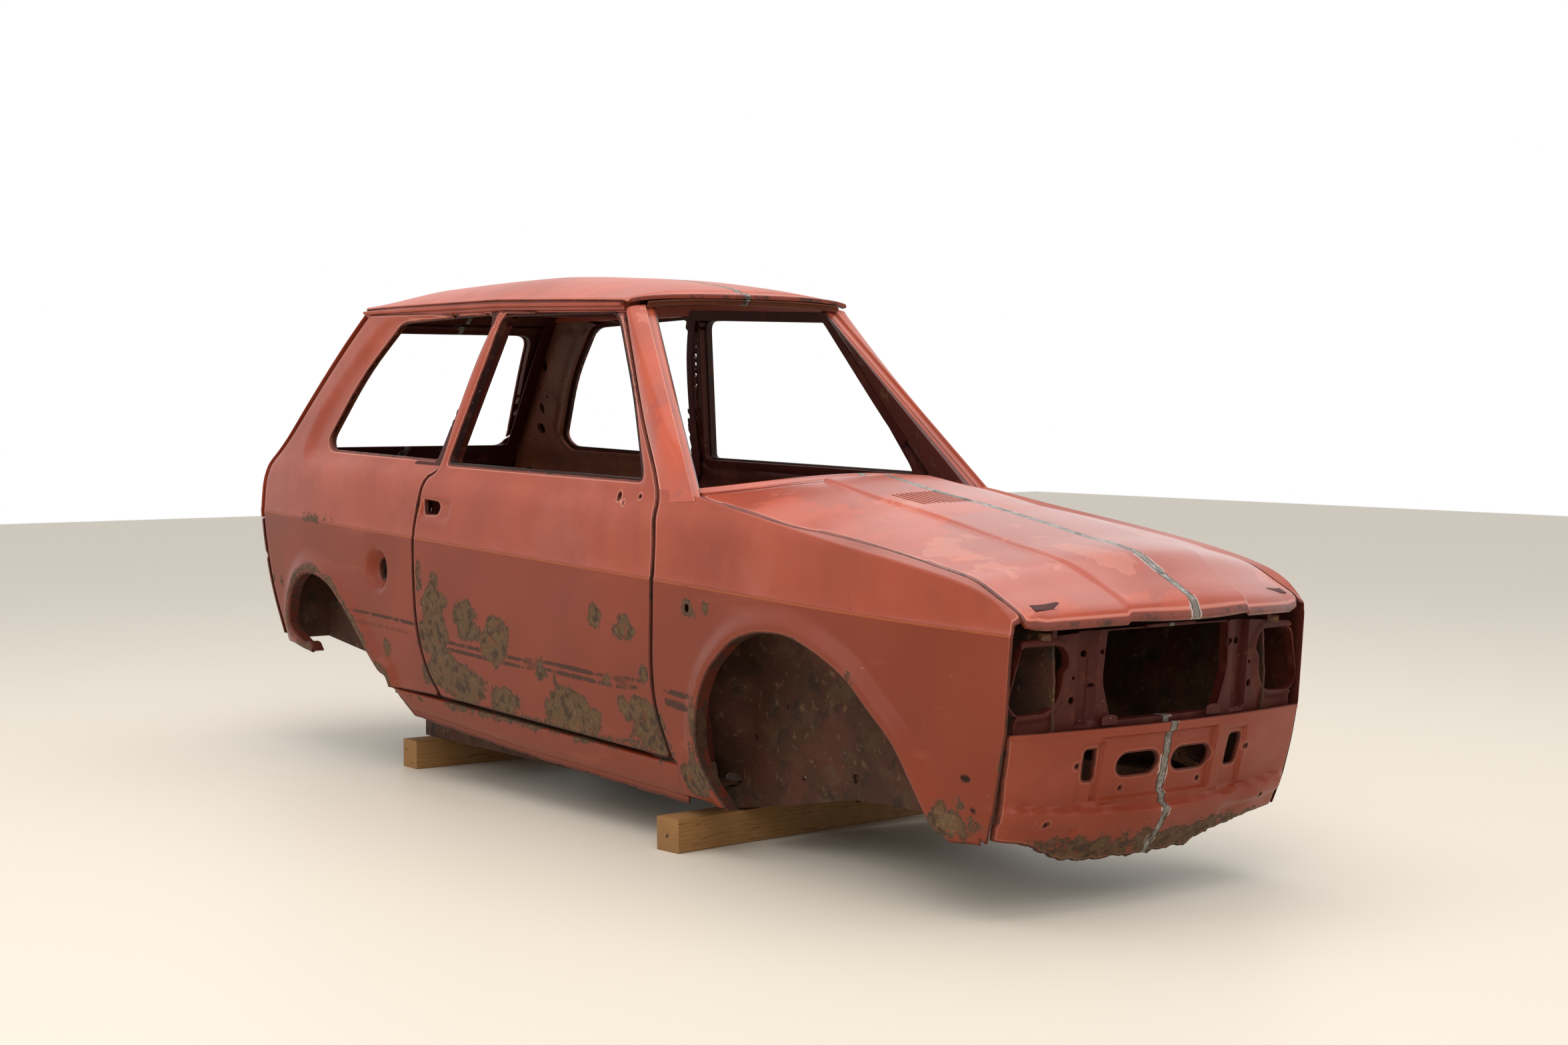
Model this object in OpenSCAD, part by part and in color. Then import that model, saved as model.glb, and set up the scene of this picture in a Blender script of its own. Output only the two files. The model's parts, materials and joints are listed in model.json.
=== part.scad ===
/* [Overall size] */
// Half of the body's width at the side crease
half_w = 460; // [450:1:465]
// Distance between the axle lines
wheelbase = 2150; // [2100:10:2700]
// Nose of the bonnet ahead of the front axle line, at the centre
front_overhang = 764; // [740:2:900]
// Tail of the tailgate behind the rear axle line, at the centre
rear_overhang = 512; // [500:2:640]
// Height of the gutter above the floor, over the doors
gutter_h = 1256; // [1250:1:1262]
// Height of the window sill above the floor, at the front axle line
belt_h = 796; // [760:1:840]
// Height of the side crease above the floor, at the front axle line
crease_h = 588; // [560:1:640]
// Rise of the crease and the window sill towards the tail, per millimetre
wedge = 0.0347; // [0.02:0.0001:0.05]

/* [Sheet and walls] */
// Thickness of an outer panel with its folded edges
skin_t = 10; // [6:0.5:14]
// Thickness of a door's inner frame
door_frame_t = 34; // [20:1:45]
// Thickness of pillars and roof rails behind the skin
pillar_t = 40; // [24:1:60]
// Thickness of floors, wheelhouses and inner wings
pan_t = 8; // [5:0.5:14]
// Gap between two panels of the fixed shell
seam = 0.4; // [0.2:0.1:0.8]
// Shut gap round doors, bonnet and tailgate
shut = 10; // [8:0.5:14]

/* [Doors] */
// Front shut line of the door, behind the front axle line
door_front = 470; // [460:1:480]
// Length of the door along the crease
door_len = 1142; // [1000:2:1200]
// How far the door's lower front corner runs ahead of its shut line
door_toe = 52; // [20:2:60]
// Height of the door's lower edge above the floor
door_bottom = 207; // [190:1:240]
// Door hinge line behind the front shut line
hinge_back = 45; // [40:1:60]
// Door hinge line inboard of the side crease
hinge_in = 26; // [22:1:32]
// Height of a door hinge's knuckle
hinge_h = 46; // [30:1:60]
// Diameter of the hinge knuckles
knuckle_d = 12; // [8:0.5:16]
// Running gap at the hinge faces
hinge_gap = 0.4; // [0.2:0.1:0.8]

/* [Wheel arches] */
// Radius of the front arch
front_arch_r = 321; // [290:1:340]
// Height of the front arch's centre above the floor
front_arch_h = 198; // [180:1:220]
// Radius of the round top of the rear arch
rear_arch_r = 168; // [150:1:200]
// Height of the centre of the rear arch's round top
rear_arch_h = 345; // [330:1:370]
// Centre of the rear arch's round top behind the rear axle line
rear_arch_back = 75; // [50:1:100]

/* [Chassis and timbers] */
// Side of the square timbers under the shell
timber = 77; // [60:1:100]
// Length of the front timber
front_timber_len = 968; // [800:2:1100]
// Length of the rear timber
rear_timber_len = 850; // [700:2:900]
// Outer face of the chassis rails from the centre
rail_x = 290; // [250:1:310]
// Width of a chassis rail
rail_w = 60; // [40:1:80]
// Height of the cabin floor above the chassis rails' underside
floor_up = 56; // [40:1:70]
// Diameter of the fuel filler hole
filler_d = 62; // [50:1:80]
// Diameter of the strut mounting hole
strut_d = 70; // [50:1:90]

/* [Hidden] */

$fn = 64;
mid_y = (wheelbase + rear_overhang - front_overhang) / 2;
door_rear = door_front + door_len;
rail_bottom = timber;
floor_z = timber + floor_up;
red = "#a8412f";
dark_red = "#6e2a26";
rust = "#5d4535";
timber_colour = "#b98d58";

// Side surface: insets from the half width at heights above the crease
side_profile = [[-560, 64], [-440, 24], [-330, 9], [-240, 3], [0, 0], [135, 8], [190, 28],
  [720, 166]];
side_levels = [for (p = side_profile) p[0]];
front_taper_from = -100;
front_taper = 55;
rear_taper_from = wheelbase - 250;
rear_taper = 25;
side_stations = [-front_overhang, -640, -500, -300, front_taper_from, rear_taper_from,
  wheelbase - 50, wheelbase + 150, wheelbase + 350, wheelbase + rear_overhang];

function crease_z(y) = crease_h + wedge * y;
function belt_z(y) = belt_h + wedge * y * 0.85;
function plan_inset(y) =
  y < front_taper_from ? front_taper * pow((front_taper_from - y) / 600, 2) :
  y > rear_taper_from ? rear_taper * pow((y - rear_taper_from) / 700, 2) : 0;
function side_x(y, z) = half_w - plan_inset(y) - lookup(z - crease_z(y), side_profile);
function gutter_z(y) = lookup(y,
  [[door_front, gutter_h - 24], [1400, gutter_h], [wheelbase + 60, gutter_h]]);

// Roof
roof_half = 328;
roof_front = 742;
roof_rear = wheelbase - 6;
roof_crown = [[roof_front, 14], [790, 26], [880, 40], [1100, 58], [1400, 66], [1900, 56],
  [wheelbase - 60, 30], [roof_rear, 12]];
roof_stations = [for (p = roof_crown) p[0]];
function roof_z(x, y) = gutter_z(y) + 8 + lookup(y, roof_crown) * (1 - pow(x / roof_half, 2));

// Bonnet and scuttle
bonnet_rear = 362;
bonnet_rear_bow = 150;
bonnet_front_half = 384;
bonnet_rear_half = 412;
lip_h = 582;
// Bonnet's centre line: distance from the axle line, height over the crease, drop at the side
bonnet_line = [[-front_overhang, -4, 7], [-front_overhang + 40, 40, 15], [-680, 62, 20], [-584, 110, 36],
  [-441, 134, 38], [-296, 160, 40], [-105, 191, 46], [33, 211, 52], [213, 242, 54], [420, 262, 40]];
bonnet_stations = [for (p = bonnet_line) p[0]];
bonnet_height = [for (p = bonnet_line) [p[0], p[1]]];
bonnet_drop = [for (p = bonnet_line) [p[0], p[2]]];
nose_bow = 56;
function bonnet_half(y) = lookup(y, [[-700, bonnet_front_half], [bonnet_rear, bonnet_rear_half]]);
function bonnet_bow(x, y) = nose_bow * pow(x / bonnet_front_half, 2) * lookup(y, [[-600, 1], [-400, 0]]);
function bonnet_z(x, y) =
  let (line = y - bonnet_bow(x, y))
  crease_h + lookup(line, bonnet_height) - lookup(line, bonnet_drop) * pow(x / bonnet_front_half, 2);

// Tail surface
tail_line = [[250, -180], [318, -150], [509, -50], [693, 0], [765, -12], [905, -147], [1154, -392],
  [gutter_h + 12, -520]];
tail_levels = [for (p = tail_line) p[0]];
function tail_y(x, z) = wheelbase + rear_overhang + lookup(z, tail_line) - 30 * pow(x / half_w, 2);

// Nose surface below the bonnet's lip
nose_line = [[100, 150], [157, 117], [193, 103], [222, 94], [310, 71], [362, 60], [580, 42]];
nose_levels = [for (p = nose_line) p[0]];
function nose_y(x, z) = -front_overhang + lookup(z, nose_line) + 50 * pow(x / half_w, 2);

lamp_foot = 368;
lamp_top = lip_h - 34;
lamp_recess = 16;
tail_split = 655;

// --- Shared shapes -------------------------------------------------------------

// A closed slab between two grids of points with the same rows and columns
module slab(outer, inner) {
  rows = len(outer);
  cols = len(outer[0]);
  n = rows * cols;
  function id(i, j) = i * cols + j;
  pts = concat([for (r = outer) for (p = r) p], [for (r = inner) for (p = r) p]);
  faces = concat(
    [for (i = [0:rows - 2]) for (j = [0:cols - 2]) for (f = [
      [id(i, j), id(i, j + 1), id(i + 1, j + 1)], [id(i, j), id(i + 1, j + 1), id(i + 1, j)]]) f],
    [for (i = [0:rows - 2]) for (j = [0:cols - 2]) for (f = [
      [n + id(i, j), n + id(i + 1, j + 1), n + id(i, j + 1)],
      [n + id(i, j), n + id(i + 1, j), n + id(i + 1, j + 1)]]) f],
    [for (i = [0:rows - 2]) for (e = [0, cols - 1]) for (f = e == 0 ?
      [[id(i, e), id(i + 1, e), n + id(i + 1, e)], [id(i, e), n + id(i + 1, e), n + id(i, e)]] :
      [[id(i, e), n + id(i + 1, e), id(i + 1, e)], [id(i, e), n + id(i, e), n + id(i + 1, e)]]) f],
    [for (j = [0:cols - 2]) for (e = [0, rows - 1]) for (f = e == 0 ?
      [[id(e, j), n + id(e, j + 1), id(e, j + 1)], [id(e, j), n + id(e, j), n + id(e, j + 1)]] :
      [[id(e, j), id(e, j + 1), n + id(e, j + 1)], [id(e, j), n + id(e, j + 1), n + id(e, j)]]) f]);
  polyhedron(pts, faces);
}

// Wall along the left side between two insets from the outer surface
module side_wall(from_in, to_in, y0 = -10000, y1 = 10000) {
  ys = [for (i = [0:len(side_stations) - 1])
    if ((i == len(side_stations) - 1 || side_stations[i + 1] > y0) && (i == 0 || side_stations[i - 1] < y1))
      side_stations[i]];
  function row(y, d) = [for (s = side_levels) [side_x(y, crease_z(y) + s) - d, y, crease_z(y) + s]];
  slab([for (y = ys) row(y, from_in)], [for (y = ys) row(y, to_in)]);
}

// Prism over a side-view outline of [y, z] points, across the left half of the car
module side_prism(points, x0 = 0, x1 = 600) {
  translate([x0, 0, 0])
    rotate([90, 0, 90])
      linear_extrude(x1 - x0)
        polygon(points);
}

// Round pin or bore across the car
module cross_bore(d, y, z, x0, x1) {
  translate([x0, y, z])
    rotate([0, 90, 0])
      cylinder(d = d, h = x1 - x0);
}

// Wall under a top surface between two depths
module roof_wall(from_dn, to_dn, ys, half) {
  xs = [for (i = [-3:3]) half * i / 3];
  slab([for (y = ys) [for (x = xs) [x, y, roof_z(x, y) - to_dn]]],
    [for (y = ys) [for (x = xs) [x, y, roof_z(x, y) - from_dn]]]);
}

module bonnet_wall(from_dn, to_dn) {
  xs = [for (i = [-3:3]) i / 3];
  function row(y, dn) = [for (k = xs) [k * (half_w - 20), y, bonnet_z(k * bonnet_half(y), y) - dn]];
  slab([for (y = bonnet_stations) row(y, to_dn)], [for (y = bonnet_stations) row(y, from_dn)]);
}

// Wall across the tail between two depths ahead of the tail surface
module tail_wall(from_in, to_in) {
  xs = [for (i = [-3:3]) (half_w + 10) * i / 3];
  slab([for (z = tail_levels) [for (x = xs) [x, tail_y(x, z) - from_in, z]]],
    [for (z = tail_levels) [for (x = xs) [x, tail_y(x, z) - to_in, z]]]);
}

// Wall across the nose between two depths behind the nose surface
module nose_wall(from_in, to_in) {
  xs = [for (i = [-3:3]) (half_w + 10) * i / 3];
  slab([for (z = nose_levels) [for (x = xs) [x, nose_y(x, z) + to_in, z]]],
    [for (z = nose_levels) [for (x = xs) [x, nose_y(x, z) + from_in, z]]]);
}

// Takes a side-view outline through the left half of the car
module side_cut() {
  rotate([90, 0, 90])
    linear_extrude(600)
      children();
}

module box(lo, hi) {
  translate(lo)
    cube(hi - lo);
}

module right() {
  mirror([1, 0, 0])
    children();
}

// Moves the car from its front axle line to the middle of its length
module place() {
  translate([0, -mid_y, 0])
    children();
}

// --- Side outlines -------------------------------------------------------------

door_toe_z = door_bottom + 100;
// Front shut line from the door's foot to the gutter
function door_front_line(d) = [
  [door_front - door_toe + d, door_bottom - 7],
  [door_front - 8 + d, door_toe_z],
  [door_front + 5 + d, door_toe_z + 95],
  [door_front + d, crease_z(door_front) + 110],
  [door_front + 23 + d, belt_z(door_front)],
  [door_front + 140 + d, belt_z(0) + 0.36 * (gutter_h - belt_h)],
  [door_front + 314 + d, gutter_z(door_front + 314) - 20]];
// Rear shut line from the gutter to the door's foot
function door_rear_line(d) = [
  [door_rear - 226 + d, gutter_z(door_rear - 226) - 20],
  [door_rear - 168 + d, gutter_h - 0.3 * (gutter_h - belt_h)],
  [door_rear - 124 + d, gutter_h - 0.61 * (gutter_h - belt_h)],
  [door_rear - 93 + d, belt_z(door_rear) - 10],
  [door_rear - 45 + d, belt_z(door_rear) - 50],
  [door_rear - 6 + d, crease_z(door_rear) + 42],
  [door_rear + d, crease_z(door_rear)],
  [door_rear - 11 + d, crease_z(door_rear) - 224],
  [door_rear - 49 + d, door_bottom + 101],
  [door_rear - 113 + d, door_bottom + 25]];

function reverse(a) = [for (i = [len(a) - 1:-1:0]) a[i]];

module door_outline() {
  polygon(concat(door_front_line(shut), door_rear_line(0)));
}

module door_window() {
  polygon([[door_front + 99, belt_z(door_front) + 8], [door_front + 99, belt_z(door_front) + 24],
    [door_front + 209, belt_h + 0.45 * (gutter_h - belt_h)],
    [door_front + 335, gutter_h - 60], [door_front + 367, gutter_h - 40],
    [door_rear - 247, gutter_h - 34],
    [door_rear - 137, belt_z(door_rear) - 4]]);
}

module quarter_window() {
  polygon([[door_rear - 49, belt_z(door_rear) + 2], [wheelbase + 50, belt_z(wheelbase) + 6],
    [wheelbase + 83, belt_z(wheelbase) + 34], [wheelbase - 45, belt_z(wheelbase) + 210],
    [wheelbase - 220, gutter_h - 42], [door_rear - 182, gutter_h - 30]]);
}

module front_arch() {
  translate([0, front_arch_h])
    circle(r = front_arch_r);
  polygon([[0, 0], [-0.1, front_arch_h + front_arch_r - 2], [-195, front_arch_h + front_arch_r - 64],
    [-467, 180], [-500, 60], [-500, 0]]);
  polygon([[0, 0], [0, front_arch_h], [front_arch_r - 23, 256], [282, 194], [235, 128], [208, 60],
    [208, 0]]);
}

module rear_arch() {
  cy = wheelbase + rear_arch_back;
  translate([cy, rear_arch_h])
    circle(r = rear_arch_r);
  polygon([[cy, 0], [cy - 95, rear_arch_h + rear_arch_r - 30], [wheelbase - 361, 238],
    [wheelbase - 361, 0]]);
  polygon([[cy - 10, 0], [cy - 10, rear_arch_h], [cy + rear_arch_r - 0.5, rear_arch_h],
    [cy + rear_arch_r + 6, 290],
    [cy + rear_arch_r - 20, 0]]);
}

// Outer edge of the tail at the body side, from the gutter down
function tail_corner(z) = side_x(tail_y(half_w - 40, z), z);
function tail_edge(d) = [for (i = [len(tail_line) - 1:-1:0])
  [tail_y(tail_corner(tail_line[i][0]), tail_line[i][0]) - d, tail_line[i][0]]];

sill_top = door_bottom - 14;
sill_top_rise = 36;
sill_front = door_front - 69;
sill_rear = wheelbase - 361;
function sill_top_at(y) = sill_top - 4 + (sill_top_rise + 4) * (y - sill_front) / (sill_rear - sill_front);

// --- Shell panels --------------------------------------------------------------

// Front edge of the wing, a seam behind the lower panel and flush above it
function wing_front(z) = nose_y(half_w - 50, z) + (z > lamp_foot ? 2 : skin_t + seam + 1);

module front_wing() {
  tops = [-620, -540, -385, -132, 136, 340];
  color(red) {
    difference() {
      intersection() {
        side_wall(0, skin_t, -800, 600);
        side_prism(concat(
          [for (z = [152, 262, lamp_foot, lamp_foot + 0.5, lip_h - 12]) [wing_front(z), z]],
          [for (y = tops) [y, wing_top(y) - seam]],
          [[door_front - 60, wing_top(340)], [door_front - 60, belt_z(door_front) - 22],
            [door_front + 18, belt_z(door_front) - 22]],
          reverse([for (i = [0:3]) door_front_line(0)[i]]),
          [[door_front - 70, sill_top - 3], [door_front - 70, 112]]), 200);
      }
      side_cut()
        front_arch();
      cross_bore(18, 335, 547, 300, 600);
    }
    wing_top_strip();
  }
}

// Height of the wing's top crease
function wing_top(y) = lookup(y,
  [[-700, lip_h - 6], [-626, lip_h + 46], [-540, lip_h + 74], [-385, lip_h + 104],
  [-132, lip_h + 143], [136, lip_h + 176], [bonnet_rear, lip_h + 212]]);

// Strip along the wing's top between its crease and the bonnet's shut gap
module wing_top_strip() {
  ys = [-690, -626, -540, -385, -132, 136, 340];
  function strip(y, dn) = [[bonnet_half(y) + shut / 2, y, wing_top(y) - 1 - dn],
    [side_x(y, wing_top(y)) - skin_t - 5 * seam, y, wing_top(y) - dn]];
  slab([for (y = ys) strip(y, skin_t + seam)], [for (y = ys) strip(y, seam)]);
}

module quarter_panel(filler) {
  front = door_rear_line(shut);
  color(red)
    difference() {
      intersection() {
        side_wall(0, skin_t, door_rear - 400, 5000);
        side_prism(concat(
          [for (i = [len(front) - 1:-1:0]) front[i]],
          [[tail_y(tail_corner(gutter_h - 12), gutter_h - 12) - skin_t - seam - 2, gutter_h - 12]],
          [for (p = tail_edge(skin_t + seam + 1.3)) if (p[1] < gutter_h - 100 && p[1] > 300) p],
          [[tail_y(half_w, 300) - skin_t - seam - 14, 300], [wheelbase + 240, 288],
            [wheelbase - 361, sill_top + sill_top_rise + seam]]), 200);
      }
      side_cut()
        rear_arch();
      side_cut()
        quarter_window();
      if (filler)
        cross_bore(filler_d, wheelbase - 325, 546, 300, 600);
    }
}

module centre_pillar() {
  line = door_rear_line(shut + 4);
  low = len(line) - 1;
  color(dark_red)
    intersection() {
      side_wall(skin_t + seam, skin_t + pillar_t, door_rear - 400, door_rear + 200);
      difference() {
        side_prism(concat(
          [for (i = [low:-1:0]) line[i]],
          [[door_rear - 150, gutter_h - 12 - seam], [door_rear - 80, belt_z(door_rear) + 120],
            [door_rear + 60, belt_z(door_rear) - 2],
            [door_rear + 90, crease_z(door_rear)], [door_rear + 60, sill_top + sill_top_rise + 4]]), 200);
        cross_bore(34, door_rear - 60, belt_z(door_rear) - 120, 200, 600);
      }
    }
}

// Rail with its drip gutter along the roof's edge, over the door and the quarter panel
module roof_rail() {
  drip = 8;
  stations = [roof_front + 58 + seam, 1400, roof_rear - 4];
  color(red)
    intersection() {
      side_wall(-drip, pillar_t, roof_front - 100, 5000);
      side_prism(concat([for (y = stations) [y, gutter_z(y) - 2 - seam]],
        [for (y = reverse(stations)) [y, gutter_z(y) - 12 + seam]]), 200);
    }
}

module roof_panel() {
  color(red)
    roof_wall(0, skin_t, roof_stations, roof_half);
}

// Cross member under the roof between two distances from the front axle line
module roof_header(y0, y1) {
  color(dark_red)
    intersection() {
      roof_wall(skin_t + seam, skin_t + 26, roof_stations, roof_half);
      box([66 - roof_half, y0, 0], [roof_half - 66, y1, 2000]);
    }
}

module windscreen_header() {
  roof_header(roof_front + 2, roof_front + 78);
}

module rear_header() {
  roof_header(roof_rear - 104, roof_rear - 2);
}

// Windscreen pillar above the scuttle, with the hinge pillar as a solid of its own below it
module front_pillar() {
  edge = door_front_line(0);
  color(red) {
    intersection() {
      side_wall(1, skin_t + 32, 200, 900);
      side_prism([[bonnet_rear - 4, belt_z(0) + 18], [edge[4][0], belt_z(door_front) - 2], edge[5],
        [edge[6][0], edge[6][1] + 2], [roof_front + 58, gutter_z(roof_front + 58) - 2 - seam],
        [roof_front + 16, gutter_z(roof_front + 16) - 2 - seam]], 200);
    }
    intersection() {
      side_wall(skin_t + seam, skin_t + 60, 100, 900);
      side_prism([[bulkhead_y + pan_t + seam, sill_top_at(bulkhead_y) + seam],
        [door_front - 66, sill_top_at(door_front - 66) + seam], [door_front - 66, door_toe_z + 36],
        [door_front - 10, door_toe_z + 60], [door_front - 10, belt_z(door_front) - 24],
        [bulkhead_y + pan_t + seam, belt_z(door_front) - 24]], 200);
    }
  }
}

module sill() {
  color(red)
    intersection() {
      side_wall(0, 150, 0, wheelbase);
      side_prism([[sill_front, sill_top_at(sill_front)], [sill_rear, sill_top_at(sill_rear)],
        [sill_rear - 89, 171], [(sill_front + sill_rear) / 2, 134], [sill_front, 112]], sill_in);
    }
}

// --- Doors ---------------------------------------------------------------------

module door_prism() {
  rotate([90, 0, 90])
    linear_extrude(600)
      door_outline();
}

module door_skin() {
  color(red)
    difference() {
      intersection() {
        side_wall(0, skin_t, 300, door_rear + 50);
        door_prism();
      }
      side_cut()
        door_window();
      handle_hole();
    }
}

// Opening left in the skin by the missing outside handle
module handle_hole() {
  box([300, door_rear - 150, crease_z(door_rear) + 58], [600, door_rear - 60, crease_z(door_rear) + 104]);
}

hinge_x = half_w - hinge_in;
hinge_y = door_front + hinge_back;
hinge_levels = [crease_h - 160, crease_h + 60];

module door_frame() {
  front = door_front_line(shut + 14);
  rear = door_rear_line(-14);
  color(dark_red)
    difference() {
      intersection() {
        side_wall(skin_t + 0.2, skin_t + door_frame_t, 300, door_rear + 50);
        side_prism(concat(
          [[front[0][0] + 26, front[0][1] + 10], [front[1][0], front[1][1] + 20]],
          [for (i = [2:len(front) - 2]) front[i]],
          [[front[6][0] + 2, front[6][1] - 8], [rear[0][0], rear[0][1] - 8]],
          [for (i = [1:len(rear) - 2]) rear[i]],
          [[rear[len(rear) - 1][0], rear[len(rear) - 1][1] + 10]]), 200);
      }
      side_cut()
        door_window();
      side_prism([[door_front + 130, crease_h - 240], [door_front + 130, crease_h + 90],
        [door_rear - 200, crease_h + 120], [door_rear - 150, crease_h - 190]]);
      for (z = hinge_levels)
        box([hinge_x - 80, door_front, z - hinge_gap],
          [hinge_x + knuckle_d / 2 + 1.4, hinge_y + knuckle_d / 2 + 2, z + hinge_h + hinge_gap]);
    }
}

// Knuckles on gooseneck brackets from the hinge pillar, reaching into pockets of the door
module door_hinges() {
  leaf = 6;
  inboard = hinge_x - 37;
  color(rust)
    for (z = hinge_levels) {
      translate([hinge_x, hinge_y, z])
        cylinder(d = knuckle_d, h = hinge_h);
      box([inboard, hinge_y - leaf / 2, z + 3], [hinge_x - 2, hinge_y + leaf / 2, z + hinge_h - 3]);
      box([inboard, door_front - 10 + seam, z + 3], [inboard + leaf, hinge_y + leaf / 2, z + hinge_h - 3]);
    }
}

// --- Bonnet and tailgate ---------------------------------------------------------

module bonnet_plan(d) {
  rear = [for (i = [-6:6])
    [i / 6 * (bonnet_half(bonnet_rear) - d), bonnet_rear - bonnet_rear_bow * (1 - pow(i / 6, 2)) - d]];
  nose = [for (i = [-6:6]) [-i / 6 * (bonnet_half(-700) - d), -front_overhang + 50 * pow(i / 6, 2) + d]];
  polygon(concat(
    reverse([for (i = [0:12]) rear[i]]),
    [for (i = [12:-1:0]) nose[i]]));
}

module bonnet_skin() {
  color(red)
    intersection() {
      bonnet_wall(0, skin_t);
      linear_extrude(1200)
        bonnet_plan(0);
    }
}

bonnet_hinge_y = -672;
bonnet_hinge_z = lip_h - 24;
bonnet_hinge_x = 300;

module bonnet_frame() {
  arm = 12;
  color(dark_red) {
    difference() {
      intersection() {
        bonnet_wall(skin_t + 0.2, skin_t + 20);
        linear_extrude(1200)
          bonnet_plan(34);
      }
      for (s = [-1, 1])
        translate([s * 30 - (s < 0 ? 250 : 0), -560, 0])
          cube([250, 560, 1200]);
      box([-250, 60, 0], [250, 150, 1200]);
    }
    for (s = [-1, 1])
      intersection() {
        bonnet_solid_below(skin_t + 4);
        translate([s * bonnet_hinge_x, 0, 0])
          union() {
            box([-arm / 2, bonnet_hinge_y - 8, bonnet_hinge_z], [arm / 2, bonnet_hinge_y + 8, 900]);
            cross_bore(16, bonnet_hinge_y, bonnet_hinge_z, -arm / 2, arm / 2);
          }
      }
  }
}

// Everything under the bonnet's surface by a depth, down to the chassis
module bonnet_solid_below(depth) {
  bonnet_wall(depth, 400);
}

// Fixed knuckles outboard of the bonnet's arms, standing on the lamp panel
module bonnet_hinges() {
  w = 24;
  x0 = bonnet_hinge_x + 6 + hinge_gap;
  color(rust)
    for (s = [0, 1])
      mirror([s, 0, 0]) {
        cross_bore(knuckle_d, bonnet_hinge_y, bonnet_hinge_z, x0, x0 + w);
        box([x0, bonnet_hinge_y - 5, lamp_top + seam], [x0 + w, bonnet_hinge_y + 5, bonnet_hinge_z]);
      }
}

module tail_prism(half_top, half_low, z0, z1) {
  rotate([90, 0, 0])
    translate([0, 0, -wheelbase - rear_overhang - 50])
      linear_extrude(800)
        polygon([[-half_low, z0], [half_low, z0], [half_top, z1], [-half_top, z1]]);
}

tail_half_low = 400;
tail_half_top = 286;
tail_top = 1240;

module tail_glass() {
  tail_prism(tail_half_top - 45, tail_half_low - 52, 862, tail_top - 45);
}

tail_hinge_y = wheelbase + 4;
tail_hinge_z = gutter_h - 2;
tail_hinge_x = 180;
tail_hinge_w = 40;

module tailgate_skin() {
  color(red) {
    difference() {
      intersection() {
        tail_wall(0, skin_t);
        tail_prism(tail_half_top, tail_half_low, tail_split + shut, tail_top);
      }
      tail_glass();
    }
    for (s = [-1, 1])
      for (side = [-1, 1])
        tailgate_ear(s * tail_hinge_x + side * (tail_hinge_w / 2 + hinge_gap), side);
  }
}

// Ear of the tailgate at one end of a fixed knuckle
module tailgate_ear(x, side) {
  w = 10;
  x0 = side > 0 ? x : x - w;
  cross_bore(knuckle_d, tail_hinge_y, tail_hinge_z, x0, x0 + w);
  box([x0, tail_hinge_y - 4, tail_top - 14], [x0 + w, tail_hinge_y + 4, tail_hinge_z]);
}

module tailgate_frame() {
  color(dark_red)
    difference() {
      intersection() {
        tail_wall(skin_t + 0.2, skin_t + 24);
        tail_prism(tail_half_top - 16, tail_half_low - 18, tail_split + shut + 14, tail_top - 16);
      }
      tail_glass();
      tail_prism(300, 300, tail_split + 60, 810);
    }
}

// Fixed knuckles of the tailgate on short tongues from the rear header
module tailgate_hinges() {
  color(rust)
    for (s = [-1, 1]) {
      cross_bore(knuckle_d, tail_hinge_y, tail_hinge_z, s * tail_hinge_x - tail_hinge_w / 2,
        s * tail_hinge_x + tail_hinge_w / 2);
      box([s * tail_hinge_x - 14, roof_rear - 2 + seam, tail_hinge_z - 5],
        [s * tail_hinge_x + 14, tail_hinge_y, tail_hinge_z + 3]);
    }
}

// Return of the body side beside the tailgate, from the roof to the rear panel
module rear_pillar() {
  levels = [tail_split + seam, 765, 905, 1154, gutter_h - 12];
  function inner(z) = shut + tail_half_low
    + (tail_half_top - tail_half_low) * (z - tail_split - shut) / (tail_top - tail_split - shut);
  color(red)
    intersection() {
      tail_wall(0, skin_t);
      rotate([90, 0, 0])
        translate([0, 0, -wheelbase - rear_overhang - 50])
          linear_extrude(900)
            polygon(concat([for (z = levels) [inner(z), z]],
              [for (z = reverse(levels)) [tail_corner(z), z]]));
    }
}

// --- Nose ------------------------------------------------------------------------

module lamp_panel() {
  half = 386;
  color(dark_red)
    difference() {
      intersection() {
        nose_wall(lamp_recess, lamp_recess + 24);
        rotate([90, 0, 0])
          linear_extrude(900)
            polygon([[-half, lamp_foot + seam], [half, lamp_foot + seam], [half - 8, lamp_top],
              [-half + 8, lamp_top]]);
      }
      for (s = [-1, 1])
        nose_cut([[s * 364, 400], [s * 364, 534], [s * 232, 534], [s * 215, 500], [s * 222, 440],
          [s * 258, 400]]);
      nose_cut([[-150, 384], [150, 384], [178, 460], [186, 540], [-186, 540], [-178, 460]]);
    }
}

module nose_front(points) {
  rotate([90, 0, 0])
    linear_extrude(900)
      polygon(points);
}

module nose_cut(points) {
  translate([0, -300, 0])
    rotate([90, 0, 0])
      linear_extrude(600)
        polygon(points);
}

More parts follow.
